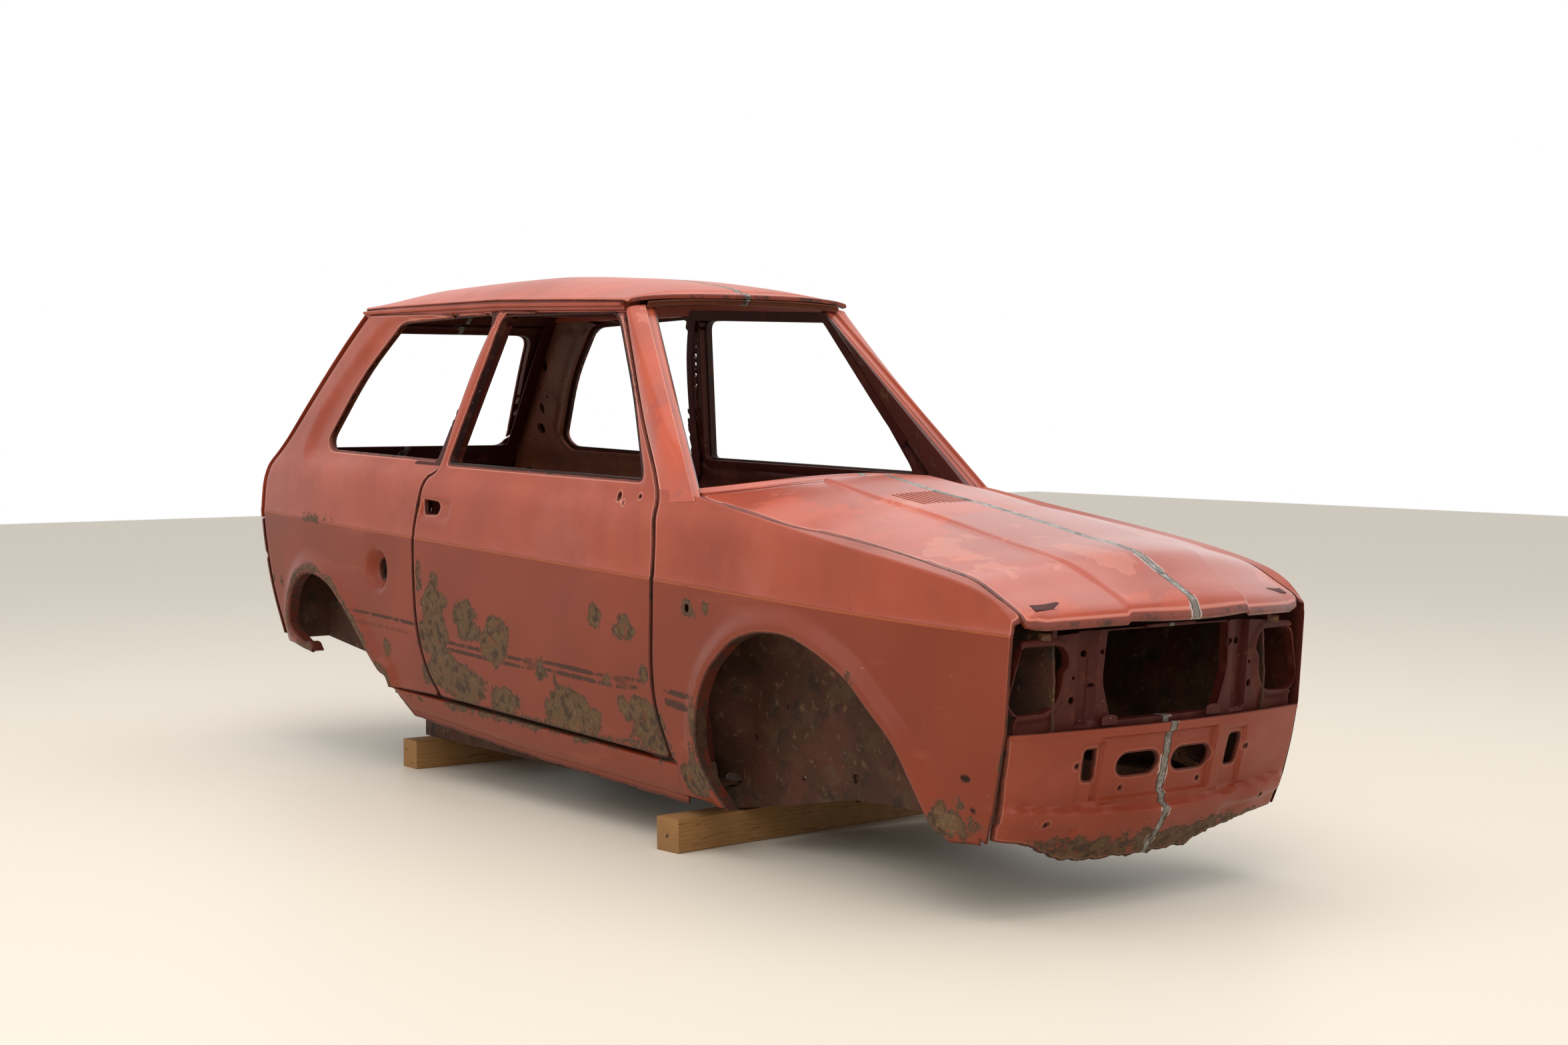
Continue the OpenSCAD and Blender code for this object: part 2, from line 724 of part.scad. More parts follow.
module lower_front_panel() {
  color(red)
    difference() {
      union() {
        intersection() {
          nose_wall(0, skin_t);
          nose_front([[-300, 105], [300, 105], [half_w - 55, 160], [half_w - 46, lamp_foot],
            [46 - half_w, lamp_foot], [55 - half_w, 160]]);
        }
        intersection() {
          nose_wall(skin_t - 1, lamp_recess + 24);
          nose_front([[62 - half_w, lamp_foot - 8], [half_w - 62, lamp_foot - 8], [half_w - 62, lamp_foot],
            [62 - half_w, lamp_foot]]);
        }
      }
      for (s = [-1, 1]) {
        nose_cut([[s * 178, 268], [s * 208, 268], [s * 208, 324], [s * 178, 324]]);
        translate([0, -300, 0])
          rotate([90, 0, 0])
            linear_extrude(600)
              hull() {
                translate([s * 105, 290])
                  circle(r = 24);
                translate([s * 45, 290])
                  circle(r = 24);
              }
      }
    }
}

// --- Inner structure ---------------------------------------------------------------

wheelhouse_x = rail_x + seam;
bulkhead_y = 338;
sill_in = 352;

// Side outline of the chassis rail: it rises ahead of the cabin
function rail_line() = [[rail_front, rail_bottom + 88], [-60, rail_bottom + 80],
  [bulkhead_y + 42, rail_bottom],
  [rail_rear, rail_bottom]];
rail_front = -596;
rail_rear = wheelbase - 280;

module inner_wing() {
  top = 640;
  fronts = [300, lamp_foot + seam, 440, lamp_top];
  plate_z = top - 60;
  color(rust) {
    side_prism(concat(rail_front_line(),
      [for (z = fronts) [nose_y(rail_x, z) + lamp_recess + 24 + seam + 1.6, z]],
      [[-560, 590], [-100, top], [bulkhead_y, top], [bulkhead_y, rail_bottom + 8], [-60, rail_bottom + 80]]),
      wheelhouse_x, wheelhouse_x + pan_t);
    difference() {
      box([wheelhouse_x + pan_t - 1, -120, plate_z], [404, 120, plate_z + pan_t]);
      translate([346, 0, 0])
        cylinder(d = strut_d, h = 900);
    }
  }
}

// Lower front edge of the inner wing, from the rail up to the nose
function rail_front_line() = [[-420, rail_bottom + 85], [-600, 240]];

// Bulkhead with the flat shelf and the block that carry the scuttle
module bulkhead() {
  z0 = floor_z + pan_t + seam;
  z1 = belt_h - 41;
  side_in = half_w - skin_t - 86;
  color(dark_red)
    difference() {
      union() {
        box([-wheelhouse_x + seam, bulkhead_y + seam, z0], [wheelhouse_x - seam, bulkhead_y + pan_t, z1]);
        for (s = [0, 1])
          mirror([s, 0, 0])
            box([wheelhouse_x - 1, bulkhead_y + seam, z0 + 80], [side_in, bulkhead_y + pan_t, z1]);
        box([-side_in, bonnet_rear - bonnet_rear_bow + 40, z1 - pan_t], [side_in, bulkhead_y + pan_t, z1]);
        scuttle_block(z1 - pan_t);
      }
      translate([150, 300, 520])
        rotate([-90, 0, 0])
          cylinder(d = 60, h = 80);
    }
}

// Closed box under the scuttle's rear strip, down to a flat floor
module scuttle_block(z) {
  us = [for (i = [0:6]) i / 3 - 1];
  intersection() {
    slab([for (u = us) [for (k = [1, 2]) let (p = scuttle_point(u, k, 0)) [p[0], p[1], z]]],
      [for (u = us) [for (k = [1, 2]) scuttle_point(u, k, skin_t + seam)]]);
    box([110 - half_w, 0, 0], [half_w - 110, 900, 1200]);
  }
}

module scuttle_panel() {
  color(red)
    slab([for (y = [0:1:6]) [for (k = [0, 1, 2]) scuttle_point(y / 6 * 2 - 1, k, skin_t)]],
      [for (y = [0:1:6]) [for (k = [0, 1, 2]) scuttle_point(y / 6 * 2 - 1, k, 0)]]);
}

// Point of the scuttle: k runs from the bonnet's gap to the windscreen's foot
function scuttle_point(u, k, d) =
  let (x = -u * (half_w - 70))
  let (y = bonnet_rear + shut - bonnet_rear_bow * (1 - u * u) + k * 40 - 18 * k * u * u)
  [x, y, bonnet_z(x, min(y, 420)) - d - (k == 1 ? 6 : 0)];

// Slanted struts from the bulkhead to the tops of the chassis rails
module engine_bay_braces() {
  color(rust)
    for (s = [-1, 1])
      hull() {
        box([s * 262 - 12, -590, rail_bottom + 88 + rail_h + seam],
          [s * 262 + 12, -560, rail_bottom + 100 + rail_h]);
        box([s * 120 - 12, bulkhead_y - 12, 470], [s * 120 + 12, bulkhead_y, 494]);
      }
}

rail_h = floor_up - seam;
module chassis_rail() {
  color(rust)
    side_prism(concat(rail_line(),
      [[rail_rear, rail_bottom + rail_h], [bulkhead_y + 42, rail_bottom + rail_h],
        [-60, rail_bottom + 80 + rail_h], [rail_front, rail_bottom + 88 + rail_h]]),
      rail_x - rail_w, rail_x);
}

module floor_pan() {
  rear = wheelbase - 560;
  tunnel_w = 90;
  tunnel_h = 110;
  color(rust)
    difference() {
      union() {
        box([-sill_in + seam, bulkhead_y + 42, floor_z], [sill_in - seam, rear, floor_z + pan_t]);
        box([-tunnel_w - pan_t, 360, floor_z], [tunnel_w + pan_t, rear, floor_z + tunnel_h]);
        box([-sill_in + seam, 900, floor_z + 1], [sill_in - seam, 960, floor_z + pan_t + 60]);
      }
      box([-tunnel_w, 300, floor_z - 10], [tunnel_w, rear + 10, floor_z + tunnel_h - pan_t]);
    }
}

rear_step = 250;
module rear_floor() {
  y0 = wheelbase - 560 + seam;
  z1 = floor_z + rear_step;
  color(rust) {
    box([-300, y0, floor_z], [300, y0 + pan_t, z1]);
    box([-300, y0 + pan_t - 1, z1 - pan_t], [300, tail_y(300, z1 - pan_t) - skin_t - 0.8, z1]);
  }
}

rear_house_x = 301;
module rear_wheelhouse() {
  y0 = wheelbase - 330;
  y1 = wheelbase + 290;
  color(rust)
    difference() {
      intersection() {
        side_wall(skin_t + seam, 200, y0 - 200, 5000);
        side_prism([[y0, 240], [y0 + 40, 420], [y0 + 160, 580], [y1 - 160, 600], [y1 - 20, 520], [y1, 360],
          [y1, 310]], rear_house_x);
      }
      side_prism([[y0 - 100, 100], [y0 + pan_t, 250], [y0 + 48, 414], [y0 + 164, 571], [y1 - 164, 591],
        [y1 - 28, 514], [y1 - pan_t, 360], [y1 - pan_t, 100]], rear_house_x + pan_t);
    }
}

module rear_panel() {
  color(red)
    difference() {
      intersection() {
        tail_wall(0, skin_t);
        tail_prism(tail_corner(tail_split), tail_corner(330), 318, tail_split);
      }
      for (s = [-1, 1])
        tail_prism_cut([[s * 240, 560], [s * 385, 560], [s * 385, 630], [s * 240, 630]]);
    }
}

module tail_prism_cut(points) {
  translate([0, wheelbase + 700, 0])
    rotate([90, 0, 0])
      linear_extrude(500)
        polygon(points);
}

front_timber_turn = 5.4;
front_timber_y = 424;
rear_timber_y = wheelbase - 342;
rear_timber_out = 372;

module timber_bar(len) {
  color(timber_colour)
    translate([0, -timber / 2, 0])
      cube([len, timber, timber - 0.2]);
}

module front_timber() {
  translate([0, front_timber_y, 0])
    rotate([0, 0, front_timber_turn])
      translate([-front_timber_len / 2, 0, 0])
        timber_bar(front_timber_len);
}

module rear_timber() {
  translate([-rear_timber_out, rear_timber_y, 0])
    timber_bar(rear_timber_len);
}

// --- Nodes ---------------------------------------------------------------------

place() roof_panel();
place() windscreen_header();
place() scuttle_panel();
place() rear_header();
place() right() front_pillar();  // right_front_pillar
place() front_pillar();  // left_front_pillar
place() right() roof_rail();  // right_roof_rail
place() roof_rail();  // left_roof_rail
place() right() front_wing();  // right_front_wing
place() front_wing();  // left_front_wing
place() right() quarter_panel(true);  // right_quarter_panel
place() quarter_panel(false);  // left_quarter_panel
place() right() centre_pillar();  // right_centre_pillar
place() centre_pillar();  // left_centre_pillar
place() right() sill();  // right_sill
place() sill();  // left_sill
place() right() door_skin();  // right_door_skin
place() right() door_frame();  // right_door_frame
place() door_skin();  // left_door_skin
place() door_frame();  // left_door_frame
place() bonnet_skin();
place() bonnet_frame();
place() tailgate_skin();
place() tailgate_frame();
place() right() rear_pillar();  // right_rear_pillar
place() rear_pillar();  // left_rear_pillar
place() lamp_panel();
place() lower_front_panel();
place() right() inner_wing();  // right_inner_wing
place() inner_wing();  // left_inner_wing
place() bulkhead();
place() engine_bay_braces();
place() right() chassis_rail();  // right_chassis_rail
place() chassis_rail();  // left_chassis_rail
place() floor_pan();
place() rear_floor();
place() right() rear_wheelhouse();  // right_rear_wheelhouse
place() rear_wheelhouse();  // left_rear_wheelhouse
place() rear_panel();
place() right() door_hinges();  // right_door_hinges
place() door_hinges();  // left_door_hinges
place() bonnet_hinges();
place() tailgate_hinges();
place() front_timber();
place() rear_timber();
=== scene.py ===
"""Looks of a bare hatchback shell, cut lengthwise and welded narrow, on two timbers.

Shapes are written in millimetres from the front axle line (y), the floor (z) and the
middle of the car (x, positive on the left side), and put into the frame in metres.
"""
import json
import math
import bpy
import numpy as np
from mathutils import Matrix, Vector

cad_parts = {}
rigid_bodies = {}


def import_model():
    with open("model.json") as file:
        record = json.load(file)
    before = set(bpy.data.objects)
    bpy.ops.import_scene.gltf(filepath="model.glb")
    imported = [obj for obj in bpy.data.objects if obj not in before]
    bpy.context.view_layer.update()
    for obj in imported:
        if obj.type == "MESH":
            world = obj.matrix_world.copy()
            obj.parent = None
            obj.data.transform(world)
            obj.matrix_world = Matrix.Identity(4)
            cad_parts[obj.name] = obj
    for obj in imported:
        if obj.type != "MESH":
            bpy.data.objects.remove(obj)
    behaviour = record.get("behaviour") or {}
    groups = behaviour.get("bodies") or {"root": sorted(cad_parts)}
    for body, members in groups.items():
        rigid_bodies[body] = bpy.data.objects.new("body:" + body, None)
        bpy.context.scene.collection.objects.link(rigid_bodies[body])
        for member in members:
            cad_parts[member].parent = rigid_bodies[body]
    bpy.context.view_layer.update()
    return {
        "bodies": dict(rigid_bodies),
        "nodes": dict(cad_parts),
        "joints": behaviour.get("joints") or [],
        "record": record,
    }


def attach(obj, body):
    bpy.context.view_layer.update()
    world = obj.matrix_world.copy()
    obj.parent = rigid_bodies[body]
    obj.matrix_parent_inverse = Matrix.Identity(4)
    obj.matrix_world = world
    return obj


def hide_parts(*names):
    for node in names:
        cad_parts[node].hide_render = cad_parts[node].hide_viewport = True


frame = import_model()

bl_info = {"name": "Narrowed Hatchback Shell", "version": (1, 0, 0), "blender": (4, 5, 0),
    "location": "View3D > Sidebar > Shell",
    "description": "Pressed panels, inner structure and worn finishes of a bare car shell",
    "category": "Object", }

MM = 0.001
INSIDE = -1000.0
MOUNTS = {m["name"]: m for m in frame["record"]["mounts"]}
AXLE_Y = MOUNTS["right_strut_hole"]["pos_m"][1]

# --- Main sizes, in millimetres --------------------------------------------------------------

HALF_W = 460.0
WHEELBASE = 2150.0
NOSE = -764.0
TAIL = WHEELBASE + 512.0
GUTTER = 1256.0
CREASE = 588.0
BELT = 796.0
WEDGE = 0.0347
DOOR_FRONT = 470.0
DOOR_REAR = DOOR_FRONT + 1142.0
DOOR_BOTTOM = 207.0
ROOF_FRONT = 742.0
ROOF_REAR = WHEELBASE - 6.0
SCUTTLE = 362.0
SCUTTLE_BOW = 150.0
NOSE_TAPER = 55
TAIL_TAPER = 25
ROOF_HALF = 328
BONNET_NOSE_HALF = 384
TIMBER = 77.0

SIDE_PROFILE = [(-560, 64), (-500, 40), (-440, 24), (-330, 9), (-240, 3), (-120, 0.6),
    (0, 0), (3, 1.0), (12, 2.2), (70, 5), (130, 8), (150, 13), (172, 22), (190, 28), (330, 64.5),
    (720, 166)]
ROOF_CROWN = [(ROOF_FRONT, 14), (790, 26), (880, 40), (1100, 58), (1400, 66), (1900, 56),
    (WHEELBASE - 60, 30), (ROOF_REAR, 12)]
BONNET_LINE = [(NOSE, -4, 7), (NOSE + 14, 22, 10), (NOSE + 40, 40, 15), (-680, 62, 20),
    (-584, 110, 36), (-441, 134, 38), (-296, 160, 40), (-105, 191, 46), (33, 211, 52),
    (213, 242, 54), (420, 262, 40)]
TAIL_LINE = [(250, -180), (318, -150), (509, -50), (650, -6), (693, 0), (730, -3), (765, -12),
    (905, -147), (1154, -392), (GUTTER + 12, -520)]
NOSE_LINE = [(90, 155), (120, 140), (157, 117), (193, 103), (222, 94), (310, 71), (362, 60),
    (580, 42)]
WING_TOP = [(-720, 560), (-690, 578), (-660, 606), (-626, 630), (-567, 653), (-415, 684),
    (-164, 721), (102, 758), (362, 797), (443, 807)]


def table(rows, x, column=1):
    """Straight-line reading of a table at x."""
    rows = np.asarray(rows, float)
    return np.interp(x, rows[:, 0], rows[:, column])


def soft_table(rows, x, column=1):
    """Smooth reading of a table at x: cubic pieces whose slopes are the harmonic means of the
    slopes on either side, so that the curve never overshoots a row."""
    rows = np.asarray(rows, float)
    xs, ys = rows[:, 0], rows[:, column]
    step = np.diff(xs)
    slope = np.diff(ys) / step
    same = slope[:-1] * slope[1:] > 0
    inner = np.where(same, 2 * slope[:-1] * slope[1:] / np.where(same, slope[:-1] + slope[1:], 1),
        0)
    m = np.concatenate([slope[:1], inner, slope[-1:]])
    x = np.clip(x, xs[0], xs[-1])
    i = np.clip(np.searchsorted(xs, x) - 1, 0, len(step) - 1)
    t = (x - xs[i]) / step[i]
    return ((1 + 2 * t) * (1 - t) ** 2 * ys[i] + t * (1 - t) ** 2 * step[i] * m[i] + t
        * t * (3 - 2 * t) * ys[i + 1] + t * t * (t - 1) * step[i] * m[i + 1])


def ease(x, low=0.0, high=1.0):
    """Smooth step from 0 at low to 1 at high."""
    t = np.clip((x - low) / (high - low), 0, 1)
    return t * t * (3 - 2 * t)


def fall(x, low=0.0, high=1.0):
    """Smooth step from 1 at low to 0 at high."""
    return 1 - ease(x, low, high)


def xyz(x, y, z):
    """Points, or whole arrays of points, from their three coordinates."""
    return np.stack([x, y, z], -1)


def crease_z(y):
    """Height of the body crease: a straight line that rises to the rear."""
    return CREASE + WEDGE * y


def belt_z(y):
    """Height of the window line: straight, a little flatter than the crease."""
    return BELT + 0.85 * WEDGE * y


def gutter_z(y):
    """Height of the gutter: up in a straight line over the door, then level."""
    return np.interp(y, [DOOR_FRONT, 1400, WHEELBASE + 60], [GUTTER - 24, GUTTER, GUTTER])


def side_x(y, z):
    """Distance of the body side from the middle: half the width less the tuck of the side
    profile, the taper of the nose and the taper of the tail, both parabolas."""
    nose = NOSE_TAPER * (np.clip(-100 - y, 0, None) / 600) ** 2
    tail = TAIL_TAPER * (np.clip(y - WHEELBASE + 250, 0, None) / 700) ** 2
    return HALF_W - nose - tail - soft_table(SIDE_PROFILE, z - crease_z(y))


def roof_z(x, y):
    """Roof height: the gutter plus a crown that falls off with the cube of x."""
    return gutter_z(y) + 8 + soft_table(ROOF_CROWN, y) * (1 - np.abs(x / ROOF_HALF) ** 3)


def bonnet_half(y):
    """Half the bonnet's width: a straight taper towards the nose."""
    return np.interp(y, [-700, SCUTTLE], [384, 412])


def bonnet_z(x, y):
    """Bonnet height: its centre line carried round a bow at the nose, less a parabolic drop."""
    across = (x / BONNET_NOSE_HALF) ** 2
    line = y - across * np.interp(y, [-700, -620, -400], [80, 62, 0])
    return CREASE + soft_table(BONNET_LINE, line) - soft_table(BONNET_LINE, line, 2) * across


def tail_y(x, z):
    """Rear face: its side profile, less a parabola across."""
    return TAIL + soft_table(TAIL_LINE, z) - 30 * (x / HALF_W) ** 2


def nose_y(x, z):
    """Front face: its side profile, plus a parabola across."""
    return NOSE + table(NOSE_LINE, z) + 50 * (x / HALF_W) ** 2


def size(key):
    """A size setting in millimetres."""
    return round(getattr(bpy.context.scene.shell_sizes, key) / MM, 3)


# --- Outlines --------------------------------------------------------------------------------


def rounded(points, cut, steps=6):
    """Outline with its corners cut back by cut and bridged by a quadratic curve."""
    p = np.asarray(points, float)
    before, after = np.roll(p, 1, 0) - p, np.roll(p, -1, 0) - p
    lb, la = np.linalg.norm(before, axis=1), np.linalg.norm(after, axis=1)
    c = np.minimum(np.broadcast_to(cut, len(p)), 0.48 * np.minimum(lb, la))
    a, b = p + before * (c / lb)[:, None], p + after * (c / la)[:, None]
    t = np.linspace(0, 1, steps)[:, None, None]
    return ((1 - t) ** 2 * a + 2 * t * (1 - t) * p + t * t * b).transpose(1, 0, 2).reshape(-1, 2)


def flowing(points, steps=5):
    """Open line through all the points: cubic pieces whose slopes join the neighbours."""
    p = np.asarray(points, float)
    m = np.gradient(p, axis=0)
    t = np.linspace(0, 1, steps, endpoint=False)[:, None, None]
    a, b, ma, mb = p[:-1], p[1:], m[:-1], m[1:]
    piece = ((1 + 2 * t) * (1 - t) ** 2 * a + t * (1 - t) ** 2 * ma + t * t * (3 - 2 * t) * b
        + t * t * (t - 1) * mb)
    return np.vstack([piece.transpose(1, 0, 2).reshape(-1, p.shape[1]), p[-1:]])


def ellipse(cy, cz, ry, rz, n=28):
    """Outline of an ellipse by its middle and half sizes: cosine and sine of equal turns."""
    t = np.linspace(0, 2 * np.pi, n, endpoint=False)
    return np.stack([cy + ry * np.cos(t), cz + rz * np.sin(t)], -1)


def outline_distance(u, v, points):
    """Signed distance to a closed outline, negative inside: the least distance to its sides,
    with the sign from how many sides a ray crosses."""
    a = np.asarray(points, float)
    b = np.roll(a, -1, 0)
    best = np.full(np.shape(u), np.inf)
    odd = np.zeros(np.shape(u), bool)
    for (au, av), (bu, bv) in zip(a, b):
        eu, ev = bu - au, bv - av
        wu, wv = u - au, v - av
        t = np.clip((wu * eu + wv * ev) / max(eu * eu + ev * ev, 1e-12), 0, 1)
        best = np.minimum(best, (wu - t * eu) ** 2 + (wv - t * ev) ** 2)
        crosses = (av > v) != (bv > v)
        odd ^= crosses & (wu < wv * eu / (ev if abs(ev) > 1e-9 else 1e-9))
    return np.where(odd, -1, 1) * np.sqrt(best)


def line_distance(u, v, points):
    """Distance to an open line."""
    a = np.asarray(points, float)
    best = np.full(np.shape(u), np.inf)
    for (au, av), (bu, bv) in zip(a[:-1], a[1:]):
        eu, ev = bu - au, bv - av
        t = np.clip(((u - au) * eu + (v - av) * ev) / (eu * eu + ev * ev), 0, 1)
        best = np.minimum(best, (u - au - t * eu) ** 2 + (v - av - t * ev) ** 2)
    return np.sqrt(best)


def waves(u, v, size, seed=0):
    """Soft bumps from -1 to 1: a sum of sines in turned directions, about size across."""
    rng = np.random.default_rng(seed)
    total = 0
    for angle, phase, k in zip(rng.uniform(0, 2 * np.pi, 9), rng.uniform(0, 2 * np.pi, 9),
            rng.uniform(0.6, 1.9, 9)):
        total = total + np.sin((u * math.cos(angle) + v * math.sin(angle)) * 2 * np.pi * k / size
            + phase)
    return total / 4.5


# Walls of the hems, from the outer face to the back: wings, outer skins, door skins, tail skins
WING_SHEET, SKIN, DOOR_SKIN, TAIL_SKIN, INNER = 3.0, 9.5, 9.8, 9.6, 10


# --- Meshes ----------------------------------------------------------------------------------


def cut_grid(us, vs, field):
    """A grid's triangles cut where the field turns positive. Corners close to the field's zero
    line move onto it, and sides that cross it are cut by straight-line interpolation."""
    u, v = (a.ravel() for a in np.meshgrid(us, vs, indexing="ij"))
    u, v = u.copy(), v.copy()
    f = field(u, v)
    gu, gv = slopes(field, u, v)
    steep = np.maximum(gu * gu + gv * gv, 1e-6)
    reach = 0.3 * min(np.diff(us).min(), np.diff(vs).min())
    near = np.abs(f) < reach * np.sqrt(steep)
    u[near] -= (f * gu / steep)[near]
    v[near] -= (f * gv / steep)[near]
    f[near] = 0
    k = np.arange(len(u)).reshape(len(us), len(vs))
    a, b, c, d = (q.ravel() for q in (k[:-1, :-1], k[1:, :-1], k[1:, 1:], k[:-1, 1:]))
    tri = np.vstack([xyz(a, b, c), xyz(a, c, d)])
    inside = f <= 0
    count = inside[tri].sum(1)

    def turned(rows, flag):
        first = np.argmax(flag[rows], 1)
        return rows[np.arange(len(rows))[:, None], (first[:, None] + np.arange(3)) % 3]

    whole = tri[count == 3]
    whole = whole[f[whole].sum(1) < 0]
    one, two = turned(tri[count == 1], inside), turned(tri[count == 2], ~inside)
    pairs = np.vstack([one[:, [0, 1]], one[:, [0, 2]], two[:, [1, 0]], two[:, [2, 0]]])
    low, high = pairs.min(1), pairs.max(1)
    keys, where = np.unique(low * len(u) + high, return_inverse=True)
    i, j = keys // len(u), keys % len(u)
    t = f[i] / (f[i] - f[j])
    u, v = np.append(u, u[i] + t * (u[j] - u[i])), np.append(v, v[i] + t * (v[j] - v[i]))
    ids = np.where(f[pairs[:, 0]] == 0, pairs[:, 0], len(f) + where.ravel())
    n1, n2 = len(one), len(two)
    x1, x2, y1, y2 = ids[:n1], ids[n1:2 * n1], ids[2 * n1:2 * n1 + n2], ids[2 * n1 + n2:]
    tri = np.vstack([whole, xyz(one[:, 0], x1, x2),
        xyz(two[:, 1], two[:, 2], y2), xyz(two[:, 1], y2, y1)])
    good = (tri[:, 0] != tri[:, 1]) & (tri[:, 1] != tri[:, 2]) & (tri[:, 2] != tri[:, 0])
    tri = tri[good]
    used, tri = np.unique(tri, return_inverse=True)
    return u[used], v[used], tri.reshape(-1, 3)


def slopes(field, u, v, e=0.5):
    """Slopes of a field in u and v: the change across e to each side, over 2 e."""
    return (field(u + e, v) - field(u - e, v)) / (2 * e), (field(u, v + e) - field(u, v - e)) / (2
        * e)


def hem(radius, wall):
    """Edge section as (outward, deep) pairs: a quarter round of that radius, then a wall."""
    quarter = [(radius * math.sin(a), radius * (1 - math.cos(a))) for a in (0.0, 0.5, 1.0, 1.5708)]
    return quarter + [(radius, wall * 0.6), (radius, wall * 0.6), (radius, wall), (0.0, wall)]


def pressed(us, vs, edges, surface):
    """A pressed panel as a closed solid. The grid is trimmed by every field in edges; from each
    trimmed edge a strip follows that edge's section outward and inward, and the back face is
    the same grid at the section's depth. surface(u, v, depth) gives points."""
    insets = [section[3][0] for _, section in edges]

    def trimmed(u, v):
        return np.max([field(u, v) + inset for (field, _), inset in zip(edges, insets)], axis=0)

    u, v, tri = cut_grid(us, vs, trimmed)
    n = len(u)
    links = np.vstack([tri[:, [0, 1]], tri[:, [1, 2]], tri[:, [2, 0]]])
    codes = links[:, 0] * n + links[:, 1]
    rim = links[~np.isin(codes, links[:, 1] * n + links[:, 0])]
    ring = np.unique(rim)
    place = np.zeros(n, int)
    place[ring] = np.arange(len(ring))
    ru, rv = u[ring], v[ring]
    values = np.array([field(ru, rv) + inset for (field, _), inset in zip(edges, insets)])
    owner = values.argmax(0)
    gu, gv = np.zeros(len(ring)), np.zeros(len(ring))
    for k, (field, _) in enumerate(edges):
        mine = owner == k
        gu[mine], gv[mine] = slopes(field, ru[mine], rv[mine])
    steep = np.maximum(gu * gu + gv * gv, 0.05)
    sections = np.array([section for _, section in edges])[owner]
    deep = np.array([section[-1][1] for _, section in edges]).max()
    rows = [surface(u, v, np.zeros(n))]
    for level in range(1, sections.shape[1] - 1):
        out, down = sections[:, level, 0], sections[:, level, 1]
        rows.append(surface(ru + gu / steep * out, rv + gv / steep * out, down))
    rows.append(surface(u, v, np.full(n, deep)))
    points = np.vstack(rows)
    starts = [ring] + [n + m * len(ring) + np.arange(len(ring))
        for m in range(sections.shape[1] - 2)]
    back = n + (sections.shape[1] - 2) * len(ring)
    starts.append(back + ring)
    i, j = place[rim[:, 0]], place[rim[:, 1]]
    walls = [np.vstack([xyz(p[j], p[i], q[i]), xyz(p[j], q[i], q[j])]) for p,
        q in zip(starts[:-1], starts[1:])]
    edge = np.zeros(len(points))
    edge[:n] = -trimmed(u, v)
    edge[back:] = INSIDE
    return points, np.vstack([tri, *walls, tri[:, ::-1] + back]), edge


def skinned(rows, caps=True):
    """Faces over a grid of points: rows of sections, each joined to the next, with the first
    and last closed by a fan round their middle."""
    rows = np.asarray(rows, float)
    m, n = rows.shape[:2]
    k = np.arange(m * n).reshape(m, n)
    nxt = np.roll(k, -1, 1)
    a, b, c, d = (q.ravel() for q in (k[:-1], nxt[:-1], nxt[1:], k[1:]))
    faces = [xyz(a, b, c), xyz(a, c, d)]
    points = rows.reshape(-1, 3)
    if caps:
        points = np.vstack([points, rows[0].mean(0), rows[-1].mean(0)])
        faces.append(xyz(nxt[0], k[0], np.full(n, m * n)))
        faces.append(xyz(k[-1], nxt[-1], np.full(n, m * n + 1)))
    return points, np.vstack(faces)


def tube_sections(path, section, up=(0, 0, 1)):
    """Sections carried along a path: at each point the section's first axis is the path's
    direction crossed with up, and its second is square to both."""
    path = np.asarray(path, float)
    along = np.gradient(path, axis=0)
    along /= np.linalg.norm(along, axis=1)[:, None]
    across = np.cross(along, up)
    across /= np.linalg.norm(across, axis=1)[:, None]
    rise = np.cross(across, along)
    return path[:, None] + section[:, :1] * across[:, None] + section[:, 1:] * rise[:, None]


def join_solids(*parts):
    """One set of points and triangles from several."""
    points, faces, start = [], [], 0
    for p, f in parts:
        points.append(p)
        faces.append(f + start)
        start += len(p)
    return np.vstack(points), np.vstack(faces)


def outward(points, faces):
    """Faces turned so that the solid's signed volume is positive."""
    p = points[faces]
    volume = np.einsum("ij,ij->i", p[:, 0], np.cross(p[:, 1], p[:, 2])).sum()
    return faces if volume > 0 else faces[:, ::-1]


FINISHES = {}
# Finishes that differ from the material slot they belong to
SLOT_OF = {"glossy_red_paint": "faded_red_paint", "roof_red_paint": "faded_red_paint",
    "stained_inner_paint": "maroon_inner_paint", "black_seal": "maroon_inner_paint"}
SHARP_DEGREES = 38


